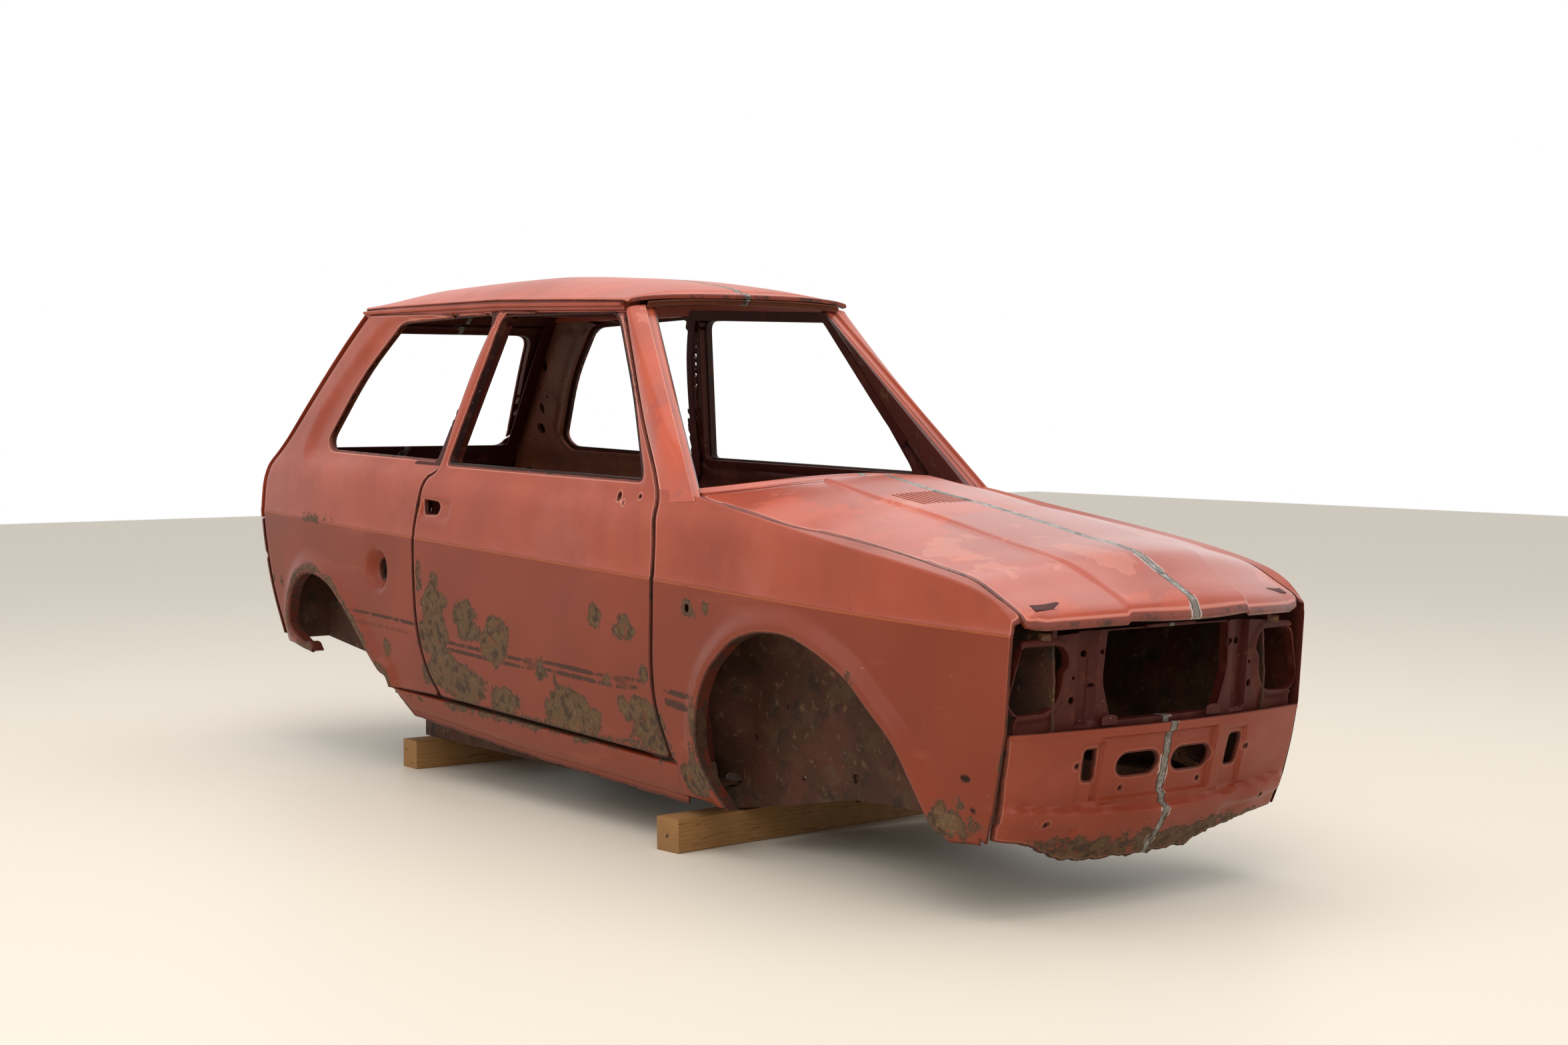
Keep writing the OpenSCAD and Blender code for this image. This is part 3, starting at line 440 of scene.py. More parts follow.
def add_piece(name, solid, finish, stands_for=(), marks=None, edge=None, body="shell", side=1):
    """Puts a solid of points and triangles into the scene as an object at the origin, turned
    to the right side by a mirror in x where side is -1, and ties it to its body. The edge
    attribute is one number for the whole piece or one for each point."""
    points, faces = solid
    faces = outward(points, faces)
    values = marks(points) if marks else {}
    if edge is not None:
        values["edge"] = np.broadcast_to(edge, len(points))
    world = (points * [side, 1, 1]) * MM + [0, AXLE_Y, 0]
    if side < 0:
        faces = faces[:, ::-1]
    mesh = bpy.data.meshes.new(name)
    mesh.vertices.add(len(world))
    mesh.vertices.foreach_set("co", world.astype(np.float32).ravel())
    mesh.loops.add(len(faces) * 3)
    mesh.loops.foreach_set("vertex_index", faces.astype(np.int32).ravel())
    mesh.polygons.add(len(faces))
    mesh.polygons.foreach_set("loop_start", np.arange(0, len(faces) * 3, 3, dtype=np.int32))
    mesh.update(calc_edges=True)
    mesh.validate()
    mesh.polygons.foreach_set("use_smooth", np.ones(len(mesh.polygons), bool))
    mesh.set_sharp_from_angle(angle=math.radians(SHARP_DEGREES))
    for key, data in values.items():
        layer = mesh.attributes.new(key, "FLOAT", "POINT")
        layer.data.foreach_set("value", np.asarray(data, np.float32))
    mesh.materials.append(FINISHES[finish])
    obj = bpy.data.objects.new(name, mesh)
    bpy.context.scene.collection.objects.link(obj)
    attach(obj, body)
    SLOT_OF.get(finish, finish)
    if stands_for:
        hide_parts(*stands_for)


def add_pair(name, solid, finish, stands_for=None, marks=None, edge=None, body="shell"):
    """The same piece on the right and, mirrored, on the left. The side's name goes before the
    piece's own, its node's, and its body's where that is a door."""
    for which, side in (("right", -1), ("left", 1)):
        nodes = [f"{which}_{stands_for}"] if stands_for else ()
        add_piece(f"{which}_{name}", solid, finish, nodes, marks, edge, f"{which}_door"
            if body == "door" else body, side)


def spaced(low, high, step, fine=()):
    """Grid lines about step apart from low to high, with a finer step inside each
    (from, to, step) of fine."""
    lines = list(np.linspace(low, high, max(2, int(round((high - low) / step)) + 1)))
    for a, b, s in fine:
        lines = [q for q in lines if not a - s * 0.6 < q < b + s * 0.6]
        lines += list(np.linspace(a, b, max(2, int(round((b - a) / s)) + 1)))
    return np.array(sorted(q for q in lines if low - 1e-6 <= q <= high + 1e-6))


# --- Finishes --------------------------------------------------------------------------------


def linear(code):
    """An sRGB hex colour as linear red, green, blue and a 1: below 0.04045 a straight line, above
    it a power of 2.4. A setting's colour is linear already and passes through."""
    if not isinstance(code, str):
        return tuple(code)
    c = np.array([int(code[i:i + 2], 16) for i in (1, 3, 5)]) / 255
    return (*np.where(c <= 0.04045, c / 12.92, ((c + 0.055) / 1.055) ** 2.4).tolist(), 1.0)


def add(tree, kind, inputs=None, **settings):
    """Adds a shader node with its settings; each input is a value to set or a socket to link."""
    made = tree.nodes.new("ShaderNode" + kind)
    for key, value in settings.items():
        setattr(made, key, value)
    for key, value in (inputs or {}).items():
        if isinstance(value, bpy.types.NodeSocket):
            tree.links.new(value, made.inputs[key])
        else:
            made.inputs[key].default_value = value
    return made.outputs


NO_TOP = 9.0  # a band's upper limit when it has none
NO_FLOOR = -99.0  # a band's lower limit when it has none
NOISE_ROUGHNESS = 0.6


class Finish:
    """A surface laid down in coats: each coat has a mask, and brings its own colour, roughness
    and height where the mask is up."""

    def __init__(self, name, colour, rough):
        self.material = bpy.data.materials.new(name)
        self.material.use_nodes = True
        self.tree = self.material.node_tree
        self.tree.nodes.clear()
        self.place = add(self.tree, "TexCoord")["Object"]
        self.colour = linear(colour)
        self.rough = rough
        self.height = 0.0
        self.material.diffuse_color = self.colour

    def patches(self, size, low, high, detail=4.0, stretch=(1, 1, 1), shift=0.0):
        """A mask from noise about size millimetres across: 0 under low, 1 over high."""
        at = add(self.tree, "Mapping", {"Vector": self.place, "Scale": stretch,
            "Location": (shift, 2 * shift, shift)})
        noise = add(self.tree, "TexNoise", {"Vector": at[0], "Scale": 1 / (size * MM),
            "Detail": detail, "Roughness": NOISE_ROUGHNESS})
        return add(self.tree, "MapRange", {0: noise["Fac"], 1: low, 2: high})[0]

    def band(self, value, low, high, soft):
        """A mask that is 1 where value lies between low and high, with ends soft to each side:
        a rise at low times a fall at high."""
        rise = add(self.tree, "MapRange", {0: value, 1: low - soft, 2: low + soft})[0]
        fall = add(self.tree, "MapRange", {0: value, 1: high - soft, 2: high + soft, 3: 1.0,
            4: 0.0})[0]
        return add(self.tree, "Math", {0: rise, 1: fall}, operation="MULTIPLY")[0]

    def coat(self, mask, colour, rough=None, rise=0.0, strength=1.0, where=None):
        """Covers the part where both masks are up, to that strength, and lifts it by rise."""
        tree = self.tree
        if where is not None:
            mask = add(tree, "Math", {0: mask, 1: where}, operation="MULTIPLY")[0]
        fac = mask
        if strength < 1:
            fac = add(tree, "Math", {0: mask, 1: strength}, operation="MULTIPLY")[0]
        self.colour = add(tree, "Mix", {0: fac, 6: self.colour, 7: linear(colour)},
            data_type="RGBA")[2]
        if rough is not None:
            self.rough = add(tree, "Mix", {0: fac, 2: self.rough, 3: rough})[0]
        if rise:
            self.height = add(tree, "Math", {0: mask, 1: rise, 2: self.height},
                operation="MULTIPLY_ADD")[0]

    def done(self, grain, coat=0.0, specular=0.4):
        """Joins it up; heights are millimetres, and grain is the fine bump's (size, height)."""
        tree = self.tree
        size, height = grain
        fine = add(tree, "TexNoise", {"Vector": self.place, "Scale": 1 / (size * MM),
            "Detail": 3.0})
        total = add(tree, "Math", {0: fine["Fac"], 1: height, 2: self.height},
            operation="MULTIPLY_ADD")[0]
        bump = add(tree, "Bump", {"Height": total, "Distance": MM, "Strength": 1.0})[0]
        shader = add(tree, "BsdfPrincipled", {"Normal": bump, "Coat Weight": coat,
            "Coat Roughness": 0.2, "Roughness": self.rough, "Specular IOR Level": specular,
            "Base Color": self.colour})
        add(tree, "OutputMaterial", {"Surface": shader[0]})
        return self.material


def ground_seam(finish, width):
    """The weld along the middle, by distance from a wavering line near x = 0: bare ground steel
    with grinding lines, a burnt black edge and chipped pale primer beside it. Lengths here are
    metres, as the Object coordinates are."""
    tree = finish.tree
    waver, waver_middle, ragged_by, chip_reach, burn_reach = 0.011, -0.0055, 0.008, 0.006, 0.0022
    x = add(tree, "SeparateXYZ", {0: finish.place})[0]
    wobble = add(tree, "TexNoise", {"Vector": finish.place, "Scale": 16.0, "Detail": 3.0})["Fac"]
    shifted = add(tree, "Math", {0: wobble, 1: waver, 2: x}, operation="MULTIPLY_ADD")[0]
    middle = add(tree, "Math", {0: shifted, 1: waver_middle}, operation="ADD")[0]
    away = add(tree, "Math", {0: middle}, operation="ABSOLUTE")[0]
    ragged = add(tree, "TexNoise", {"Vector": finish.place, "Scale": 90.0, "Detail": 5.0})["Fac"]
    away = add(tree, "Math", {0: ragged, 1: ragged_by, 2: away}, operation="MULTIPLY_ADD")[0]
    half = width * MM / 2 + ragged_by / 2
    finish.coat(finish.band(away, -1, half + chip_reach, 0.0015), "#b9a49a", 0.6,
        where=finish.patches(60, 0.52, 0.58, shift=3.0))
    finish.coat(finish.band(away, -1, half + burn_reach, 0.0008), "#33261f", 0.75, -0.2)
    steel = finish.band(away, -1, half - 0.0005, 0.0006)
    finish.coat(steel, "#6f675d", 0.5, 0.3)
    finish.coat(steel, "#9a948a", 0.4, where=finish.patches(9, 0.5, 0.62, stretch=(1, 0.35, 1)))
    finish.coat(steel, "#3b2f28", 0.7, where=finish.patches(26, 0.55, 0.63, shift=1.0))


def weathering(f, fade, upper, water_marked):
    """Sun and rain on the enamel: the chalked upper colour, which is also painted light (the upper
    side painted lighter, the lower side darker), then blotches, streaks, scratches and specks,
    and water marks on the flattest panels."""
    # The upper colour, by the chalking attribute: chalked paint, and painted light, the upper side
    # lighter than the lower.
    f.coat(fade, upper, 0.36)
    f.coat(f.patches(420, 0.42, 0.68, 3.0), "#6b2814", 0.42, strength=0.4)
    f.coat(fade, "#bd7466", 0.5, strength=0.35, where=f.patches(260, 0.48, 0.75, 4.0, shift=5.0))
    f.coat(f.patches(120, 0.5, 0.8, 5.0, stretch=(1, 1, 0.16), shift=2.0), "#843520", 0.5,
        strength=0.35)
    f.coat(f.patches(70, 0.6, 0.75, 6.0, stretch=(1, 0.2, 1), shift=7.0), "#b4684f", 0.55,
        strength=0.2)
    f.coat(f.patches(14, 0.66, 0.74, 6.0, shift=9.0), "#5f2413", 0.55, strength=0.6)
    f.coat(f.patches(7, 0.735, 0.76, 3.0, shift=4.0), "#b39a84", 0.6, 0.02, strength=0.8)
    if water_marked:  # sharp-edged, where dust has washed off and dried
        f.coat(f.patches(330, 0.5, 0.515, 6.0, shift=14.0), "#9c3f2c", 0.22, strength=0.5)
        f.coat(f.patches(160, 0.62, 0.635, 6.0, shift=21.0), "#cf7a60", 0.4, strength=0.4)


def stripe_lines(f):
    """The orange pinstripe just under the crease, worn through in places with a dark line along
    it, and the lines of a lost transfer that have let rust in."""
    crease = add(f.tree, "Attribute", attribute_name="crease")["Fac"]
    f.coat(f.band(crease, -5.0, -1.0, 0.5), "#9c4a22", 0.5, 0.05,
        where=f.patches(120, 0.3, 0.42, 5.0, shift=1.5))
    f.coat(f.band(crease, -1.0, 0.8, 0.5), "#6e2f1c", 0.5, strength=0.6,
        where=f.patches(200, 0.35, 0.5, 5.0, shift=6.5))
    stripes = add(f.tree, "Attribute", attribute_name="stripe")["Fac"]
    lines = add(f.tree, "Math", {0: stripes, 1: f.patches(26, 0.26, 0.48, 5.0, shift=8.0)},
        operation="MULTIPLY")[0]
    f.coat(f.band(lines, 0.33, NO_TOP, 0.1), "#43261a", 0.8, -0.1)


def rust_patches(f, ragged):
    """Rust by level, which is the rust attribute (0.5 on a patch's drawn rim) plus ragged and
    fine noise. Outward in: stained paint, lifted edge, dark rim, then brown scale in speckles."""
    rust = add(f.tree, "Attribute", attribute_name="rust")["Fac"]
    fine = add(f.tree, "TexNoise", {"Vector": f.place, "Scale": 170.0, "Detail": 4.0,
        "Roughness": NOISE_ROUGHNESS})["Fac"]
    level = add(f.tree, "Math", {0: ragged, 1: 1.35, 2: rust}, operation="MULTIPLY_ADD")[0]
    level = add(f.tree, "Math", {0: fine, 1: 0.5, 2: level}, operation="MULTIPLY_ADD")[0]
    stained, lifted, rim, scale, inside = 1.315, 1.393, 1.405, 1.46, 1.48
    f.coat(f.band(level, stained, NO_TOP, 0.05), "#7a3a26", 0.6, strength=0.6)
    f.coat(f.band(level, lifted, NO_TOP, 0.01), "#8a5c46", 0.75, -0.12, strength=0.6)
    f.coat(f.band(level, rim, NO_TOP, 0.015), "#2c1d15", 0.85, -0.1)
    f.coat(f.band(level, scale, NO_TOP, 0.05), "#5b432b", 0.88)
    speckled = f.band(level, inside, NO_TOP, 0.04)
    f.coat(speckled, "#7c5c3c", 0.9, 0.12, strength=0.7, where=f.patches(9, 0.52, 0.68,
        6.0, shift=6.0))
    f.coat(speckled, "#3f2c1d", 0.9, -0.05, where=f.patches(24, 0.5, 0.6, 5.0, shift=2.5))
    f.coat(speckled, "#7b3a22", 0.8, 0.1, strength=0.7, where=f.patches(30, 0.6, 0.66,
        6.0, shift=12.0))


def edge_wear_and_light(f, fade, ragged):
    """Edges by their distance in millimetres: ragged browned metal on the rim, grime and painted
    shade in the shut lines, a pale painted highlight just inside upper panels' rims, and the thin
    maroon coat on faces marked as inside."""
    edge = add(f.tree, "Attribute", attribute_name="edge")["Fac"]
    worn = add(f.tree, "Math", {0: ragged, 1: -13.0, 2: edge}, operation="MULTIPLY_ADD")[0]
    f.coat(f.band(worn, NO_FLOOR, -6.9, 0.5), "#5b2c1a", 0.75, -0.05, strength=0.8)
    f.coat(f.band(worn, NO_FLOOR, -8.0, 0.3), "#2f1f15", 0.85, strength=0.85)
    # Pale band just inside the rims of chalked panels: a painted highlight along the edges.
    f.coat(f.band(edge, 2.6, 5.2, 0.7), "#dc9482", 0.3, strength=0.5, where=fade)
    # Dark band on the rims and the hem walls: grime, and painted shade in the shut lines.
    f.coat(f.band(edge, -3, 2.0, 0.5), "#2c1410", 0.7, strength=0.6)
    back = f.band(edge, 2 * INSIDE, INSIDE / 2, 10)
    f.coat(back, "#5c281f", 0.55)
    f.coat(back, "#41261a", 0.7, strength=0.4, where=f.patches(110, 0.46, 0.6, 6.0, shift=3.0))
    f.coat(back, "#6f523c", 0.8, strength=0.6, where=f.patches(30, 0.58, 0.66, 6.0, shift=11.0))


def aged_enamel(name, upper, lower, seam, gloss, water_marked=False):
    """Red alkyd enamel, sprayed over primer on pressed steel and left outdoors: it chalks to a
    pinker red on top, stays browner below, and lifts in speckled rust patches with a dark rim.
    The paler top and browner bottom are also painted light: the upper side lit, the lower in shade."""
    f = Finish(name, lower, 0.46)
    fade = add(f.tree, "Attribute", attribute_name="fade")["Fac"]
    ragged = add(f.tree, "TexNoise", {"Vector": f.place, "Scale": 21.0, "Detail": 9.0,
        "Roughness": 0.74})["Fac"]
    weathering(f, fade, upper, water_marked)
    stripe_lines(f)
    rust_patches(f, ragged)
    edge_wear_and_light(f, fade, ragged)
    ground_seam(f, seam)
    return f.done((2.4, 0.05), coat=gloss, specular=0.22)


def inner_enamel(name, colour, seam):
    """The same enamel in thin, dull coats inside the shell: maroon, dusty and stained brown."""
    f = Finish(name, colour, 0.5)
    f.coat(f.patches(160, 0.45, 0.7), "#4a1c12", 0.6, strength=0.6)
    f.coat(f.patches(45, 0.56, 0.68, 6.0, shift=3.0), "#5a301e", 0.75, strength=0.6)
    f.coat(f.patches(12, 0.62, 0.7, 5.0, shift=5.0), "#2f1a14", 0.8, strength=0.8)
    f.coat(f.patches(90, 0.55, 0.75, 5.0, stretch=(1, 1, 0.2), shift=1.0), "#8c4c38", 0.7,
        strength=0.25)
    f.coat(f.patches(8, 0.7, 0.74, 3.0, shift=8.0), "#8d7a68", 0.7, 0.03, strength=0.8)
    ground_seam(f, seam)
    return f.done((3.0, 0.08), specular=0.2)


def stone_chip_underseal(name, colour, seam):
    """Bitumen underseal, sprayed thick: matt, stippled, with red primer, rust and olive dirt
    showing through."""
    f = Finish(name, colour, 0.85)
    stipple = add(f.tree, "TexVoronoi", {"Vector": f.place, "Scale": 190.0, "Randomness": 1.0})
    f.height = add(f.tree, "Math", {0: stipple["Distance"], 1: -1.1, 2: 0.0},
        operation="MULTIPLY_ADD")[0]
    f.coat(f.patches(140, 0.46, 0.6, 5.0), "#4f2516", 0.75, strength=0.75)
    f.coat(f.patches(90, 0.52, 0.64, 5.0, shift=3.0), "#4e3b25", 0.85, strength=0.6)
    f.coat(f.patches(60, 0.56, 0.64, 6.0, shift=5.0), "#2a1c13", 0.9, strength=0.8)
    f.coat(f.patches(24, 0.6, 0.7, 6.0, shift=7.0), "#7a5a3e", 0.85, 0.2, strength=0.6)
    f.coat(f.patches(9, 0.68, 0.73, 4.0, shift=1.0), "#93806a", 0.85, 0.05, strength=0.7)
    ground_seam(f, seam)
    return f.done((5.0, 0.5))


def rusted_steel(name, colour, seam):
    """Bare mild steel, rusted all over: brown, pitted and matt, darker in its hollows."""
    f = Finish(name, colour, 0.8)
    f.coat(f.patches(60, 0.45, 0.62, 6.0), "#7a4a29", 0.85, 0.1, strength=0.8)
    f.coat(f.patches(18, 0.52, 0.62, 6.0, shift=3.0), "#2e1d13", 0.9, -0.15)
    f.coat(f.patches(9, 0.6, 0.68, 4.0, shift=6.0), "#9a7048", 0.85, 0.1)
    ground_seam(f, seam)
    return f.done((1.6, 0.3))


def sawn_timber(name, colour):
    """Oak sawn square and left dry: growth lines along the beam (a sine of the ring attribute
    plus stretched noise), open pores, checks, and growth rings on the sawn ends."""
    f = Finish(name, colour, 0.75)
    tree = f.tree
    ring = add(tree, "Attribute", attribute_name="ring")["Fac"]
    at = add(tree, "Mapping", {"Vector": f.place, "Scale": (0.05, 1, 1)})[0]
    swirl = add(tree, "TexNoise", {"Vector": at, "Scale": 26.0, "Detail": 3.0})["Fac"]
    year = add(tree, "Math", {0: swirl, 1: 26.0, 2: ring}, operation="MULTIPLY_ADD")[0]
    turn = add(tree, "Math", {0: year, 1: 0.9}, operation="MULTIPLY")[0]
    wave = add(tree, "Math", {0: turn}, operation="SINE")[0]
    f.coat(f.band(wave, 0.1, NO_TOP, 0.5), "#8a6236", 0.8, -0.12, strength=0.65)
    f.coat(f.patches(5, 0.58, 0.66, 4.0, stretch=(0.04, 1, 1)), "#5e4022", 0.85, -0.2, strength=0.6)
    f.coat(f.patches(200, 0.5, 0.7, 4.0, shift=3.0), "#775530", 0.8, strength=0.5)
    f.coat(f.patches(30, 0.66, 0.72, 6.0, stretch=(0.2, 1, 1), shift=5.0), "#3c2a1a", 0.9, -0.4)
    return f.done((1.4, 0.15))


# --- Shared outlines of the body side --------------------------------------------------------

DOOR_TOE = DOOR_BOTTOM + 100
SHUT = 10.0
FRONT_ARCH = flowing([(208, 60), (214, 110), (250, 150), (281, 194), (295, 226), (298, 256),
    (291, 312), (272, 366), (245, 410), (208, 445), (150, 486), (77, 510), (10, 516), (-56, 513),
    (-145, 487), (-235, 446), (-306, 388), (-377, 325), (-426, 250), (-467, 180), (-486, 164),
    (-507, 152), (-530, 60)], 4)
REAR_ARCH = flowing([(1789, 60), (1789, 238), (1842, 273), (1896, 318), (1939, 360), (1994, 407),
    (2050, 448), (2107, 483), (2176, 507), (2247, 513), (2307, 502), (2363, 464), (2395, 409),
    (2402, 366), (2396, 348), (2372, 332), (2310, 308), (2240, 288), (2200, 60)], 4)


def door_front_line(d=0.0):
    """Shut line from the door's foot to the gutter, carried back by d."""
    return flowing([(DOOR_FRONT - 52 + d, DOOR_BOTTOM - 7), (DOOR_FRONT - 8 + d, DOOR_TOE),
        (DOOR_FRONT + 5 + d, DOOR_TOE + 95), (DOOR_FRONT + 2 + d, DOOR_TOE + 220),
        (DOOR_FRONT + d, crease_z(DOOR_FRONT) + 110), (DOOR_FRONT + 23 + d, belt_z(DOOR_FRONT)),
        (DOOR_FRONT + 140 + d, BELT + 0.36 * (GUTTER - BELT)),
        (DOOR_FRONT + 236 + d, BELT + 0.66 * (GUTTER - BELT)), (DOOR_FRONT + 314 + d, GUTTER - 42)],
        4)


def door_rear_line(d=0.0):
    """Shut line from the gutter to the door's foot, carried back by d."""
    return flowing([(DOOR_REAR - 226 + d, GUTTER - 21),
        (DOOR_REAR - 168 + d, GUTTER - 0.3 * (GUTTER - BELT)),
        (DOOR_REAR - 124 + d, GUTTER - 0.61 * (GUTTER - BELT)),
        (DOOR_REAR - 93 + d, belt_z(DOOR_REAR) - 10), (DOOR_REAR - 45 + d, belt_z(DOOR_REAR) - 50),
        (DOOR_REAR - 6 + d, crease_z(DOOR_REAR) + 42), (DOOR_REAR + d, crease_z(DOOR_REAR)),
        (DOOR_REAR + d, crease_z(DOOR_REAR) - 90), (DOOR_REAR - 11 + d, crease_z(DOOR_REAR) - 224),
        (DOOR_REAR - 49 + d, DOOR_BOTTOM + 101), (DOOR_REAR - 113 + d, DOOR_BOTTOM + 25)], 4)


DOOR = np.vstack([door_front_line(SHUT), door_rear_line()])
DOOR_WINDOW = rounded([(569, 821), (575, 843), (679, 1019), (805, 1194), (837, 1218), (1368, 1224),
    (1486, 838)], [14, 12, 60, 40, 30, 34, 22])
QUARTER_WINDOW = rounded([(1563, 848), (2196, 864), (2233, 892), (2105, 1069), (1932, 1214),
    (1430, 1226)], [16, 30, 22, 90, 40, 34])
QUARTER_RECESS = rounded([(1480, 808), (2300, 822), (2352, 850), (2318, 952), (2150, 1121),
    (1995, 1240), (1380, 1262)], [20, 40, 40, 60, 90, 60, 20])
FILLER_AT = (1825.0, 546.0)
FILLER_R = 30

# Rust patches of the body side: middle along the car and up, and half sizes
RUST = [(1511, 476, 59, 39), (1505, 398, 73, 57), (1345, 460, 59, 35), (1324, 420, 63, 28),
    (1193, 403, 70, 65), (1463, 296, 130, 50), (1362, 270, 113, 49), (1167, 255, 74, 34),
    (831, 257, 134, 55), (557, 299, 68, 28), (489, 256, 67, 43), (467, 228, 44, 37),
    (719, 506, 26, 29), (596, 480, 34, 26), (968, 348, 23, 25), (511, 384, 17, 19),
    (673, 353, 12, 10), (905, 328, 10, 13), (1500, 535, 22, 16), (1782, 336, 19, 22),
    (1589, 521, 12, 20), (1588, 571, 9, 14), (2534, 478, 12, 9), (2468, 474, 10, 8),
    (322, 163, 60, 40), (332, 225, 15, 28), (297, 285, 18, 51), (-252, 447, 9, 7),
    (-539, 226, 10, 7), (-657, 312, 10, 24), (-516, 182, 60, 20), (-493, 209, 31, 20),
    (333, 547, 19, 17), (260, 550, 6, 7), (1000, 214, 420, 12), (2227, 668, 40, 5)]
STRIPES = [[(1606, 385), (1300, 374), (520, 364)], [(1606, 367), (1300, 356), (540, 346)],
    [(2010, 424), (1622, 412)], [(2000, 402), (1622, 389)], [(432, 352), (330, 350)],
    [(428, 337), (345, 336)], [(424, 322), (330, 321)]]


def side_marks(points):
    """Attributes of a body side point: how chalked it is and how lit it is painted, its distance
    above the crease, how close it is to a stripe line, and its rust, which falls off across each
    patch's rim."""
    y, z = points[:, 1], points[:, 2]
    above = z - crease_z(y)
    rust = np.zeros(len(y))
    for cy, cz, ry, rz in RUST:
        q = np.sqrt(((y - cy) / ry) ** 2 + ((z - cz) / rz) ** 2)
        q = q + 0.22 * waves(y, z, 3.2 * min(ry, rz), abs(cy) + cz)
        rust = np.maximum(rust, 0.5 + (1 - q) * min(ry, rz) / 60)
    arch = np.minimum(np.abs(outline_distance(y, z, REAR_ARCH)), 400)
    rust = np.maximum(rust, 0.62 - np.abs(arch - 14) / 60)
    front = np.abs(outline_distance(y, z, FRONT_ARCH))
    rust = np.maximum(rust, 0.5 - front / 30)
    stripe = np.zeros(len(y))
    for line in STRIPES:
        stripe = np.maximum(stripe, 1 - line_distance(y, z, line) / 7)
    # Chalking, and painted light: the sharp step up at the crease stands in for its change of
    # shading, and the side is painted paler higher up and darker low down.
    fade = 0.1 + 0.62 * ease(above, -5, 3) + 0.25 * ease(above, 30, 170) - 0.1 * ease(-above,
        60, 260)
    fade = np.clip(fade + 0.12 * ease(y, 1500, 2300) * (above > 0) + 0.1 * waves(y, z, 600, 3),
        0, 1.1)
    return {"fade": fade, "crease": above, "stripe": stripe, "rust": np.clip(rust, 0, 1.2)}


def top_marks(points):
    """Attributes of an upward-facing point: chalked, and painted as lit from above, with no crease
    line and little rust.
    """
    n = len(points)
    x, y = points[:, 0], points[:, 1]
    return {"fade": np.clip(1.0 + 0.12 * waves(x, y, 500, 5), 0, 1.2), "crease": np.full(n, 99.0),
        "stripe": np.zeros(n), "rust": np.full(n, 0.12) + 0.08 * waves(x, y, 260, 9)}


def low_marks(points):
    """Attributes of the lower front: browner, with rust that rises towards the lower edge."""
    n = len(points)
    x, z = points[:, 0], points[:, 2]
    return {"fade": np.full(n, 0.25) + 0.1 * waves(x, z, 300, 8), "crease": np.full(n, 99.0),
        "stripe": np.zeros(n), "rust": 0.62 - 0.5 * ease(z, 120, 205) + 0.14 * waves(x, z, 90, 2)}


def deepest_hole(y, z, outlines):
    """Distance in from the rim of the deepest of several outlines; negative outside them all."""
    return np.max([-outline_distance(y, z, q) for q in outlines], axis=0)


def hole(points):
    """A trimming field that is positive inside an outline."""
    return lambda y, z: -outline_distance(y, z, points)


def within(points):
    """A trimming field that is positive outside an outline."""
    return lambda y, z: outline_distance(y, z, points)


def flange(points, surface, low, high, thick, closed=True):
    """A thin return flange along an outline of the surface: a strip from depth low to depth
    high, thick across, standing just outside the opening."""
    p = np.asarray(points, float)
    step = (np.roll(p, -1, 0) - np.roll(p, 1, 0)) if closed else np.gradient(p, axis=0)
    side = np.stack([step[:, 1], -step[:, 0]], -1)
    side /= np.linalg.norm(side, axis=1)[:, None] + 1e-9
    ring = [(0.0, low), (0.0, high), (thick, high), (thick, low)]
    rows = np.stack([surface(p[:, 0] + side[:, 0] * out, p[:, 1] + side[:, 1] * out,
        np.full(len(p), deep)) for out, deep in ring], 1)
    if closed:
        rows = np.vstack([rows, rows[:1]])
    return skinned(rows, caps=not closed)


def arch_lip(arch, surface):
    """Return flange inside a wheel arch, on that surface of crease height v."""
    return flange(arch[4:-4], lambda y, z, d: surface(y, z - crease_z(y), d), 2.0, 30.0,
        3.0, closed=False)


# --- Front wings -----------------------------------------------------------------------------

SHOULDER = 5.5  # radius of the fold along the wing's top edge
SHOULDER_TURN = 1.3  # how far round it goes, in radians
WING_TOP_V = 180  # where v reaches the top edge


def wing_surface(y, v, depth):
    """Wing point. Up to 0, v is the height from the crease; then it runs up to the top edge,
    round a small quarter, and straight in to the bonnet's edge. The arch stands proud."""
    crease = crease_z(y)
    top = np.maximum(soft_table(WING_TOP, y), crease + 16)
    z = np.where(v <= 0, crease + v, crease + (top - SHOULDER - crease) * np.clip(v, 0, WING_TOP_V)
        / WING_TOP_V)
    arch = outline_distance(y, z, FRONT_ARCH)
    flare = np.where(v < 20, size("front_flare") * fall(arch, 14, 60) - 4 * fall(arch, -2, 12), 0)
    turn = np.clip((v - WING_TOP_V) / SHOULDER, 0, SHOULDER_TURN)
    run = np.clip((v - WING_TOP_V - SHOULDER * SHOULDER_TURN) / 40, 0, 1)
    cos, sin = np.cos(turn), np.sin(turn)
    x = side_x(y, z) + flare - SHOULDER * (1 - cos)
    z = z + SHOULDER * sin
    x = x + (bonnet_half(y) + 3 - x) * run
    z = z + (bonnet_z(bonnet_half(y), y) - 1.5 - z) * run
    return xyz(x - depth * cos, y, z - depth * sin)


def wing_height(y, v):
    """Height at v on the wing, unrolled: what wing_surface gives, carried on past the top edge."""
    crease = crease_z(y)
    top = np.maximum(soft_table(WING_TOP, y), crease + 16)
    return np.where(v <= 0, crease + v, crease + (top - SHOULDER - crease)
        * np.clip(v, 0, WING_TOP_V) / WING_TOP_V + np.clip(v - WING_TOP_V, 0, None))


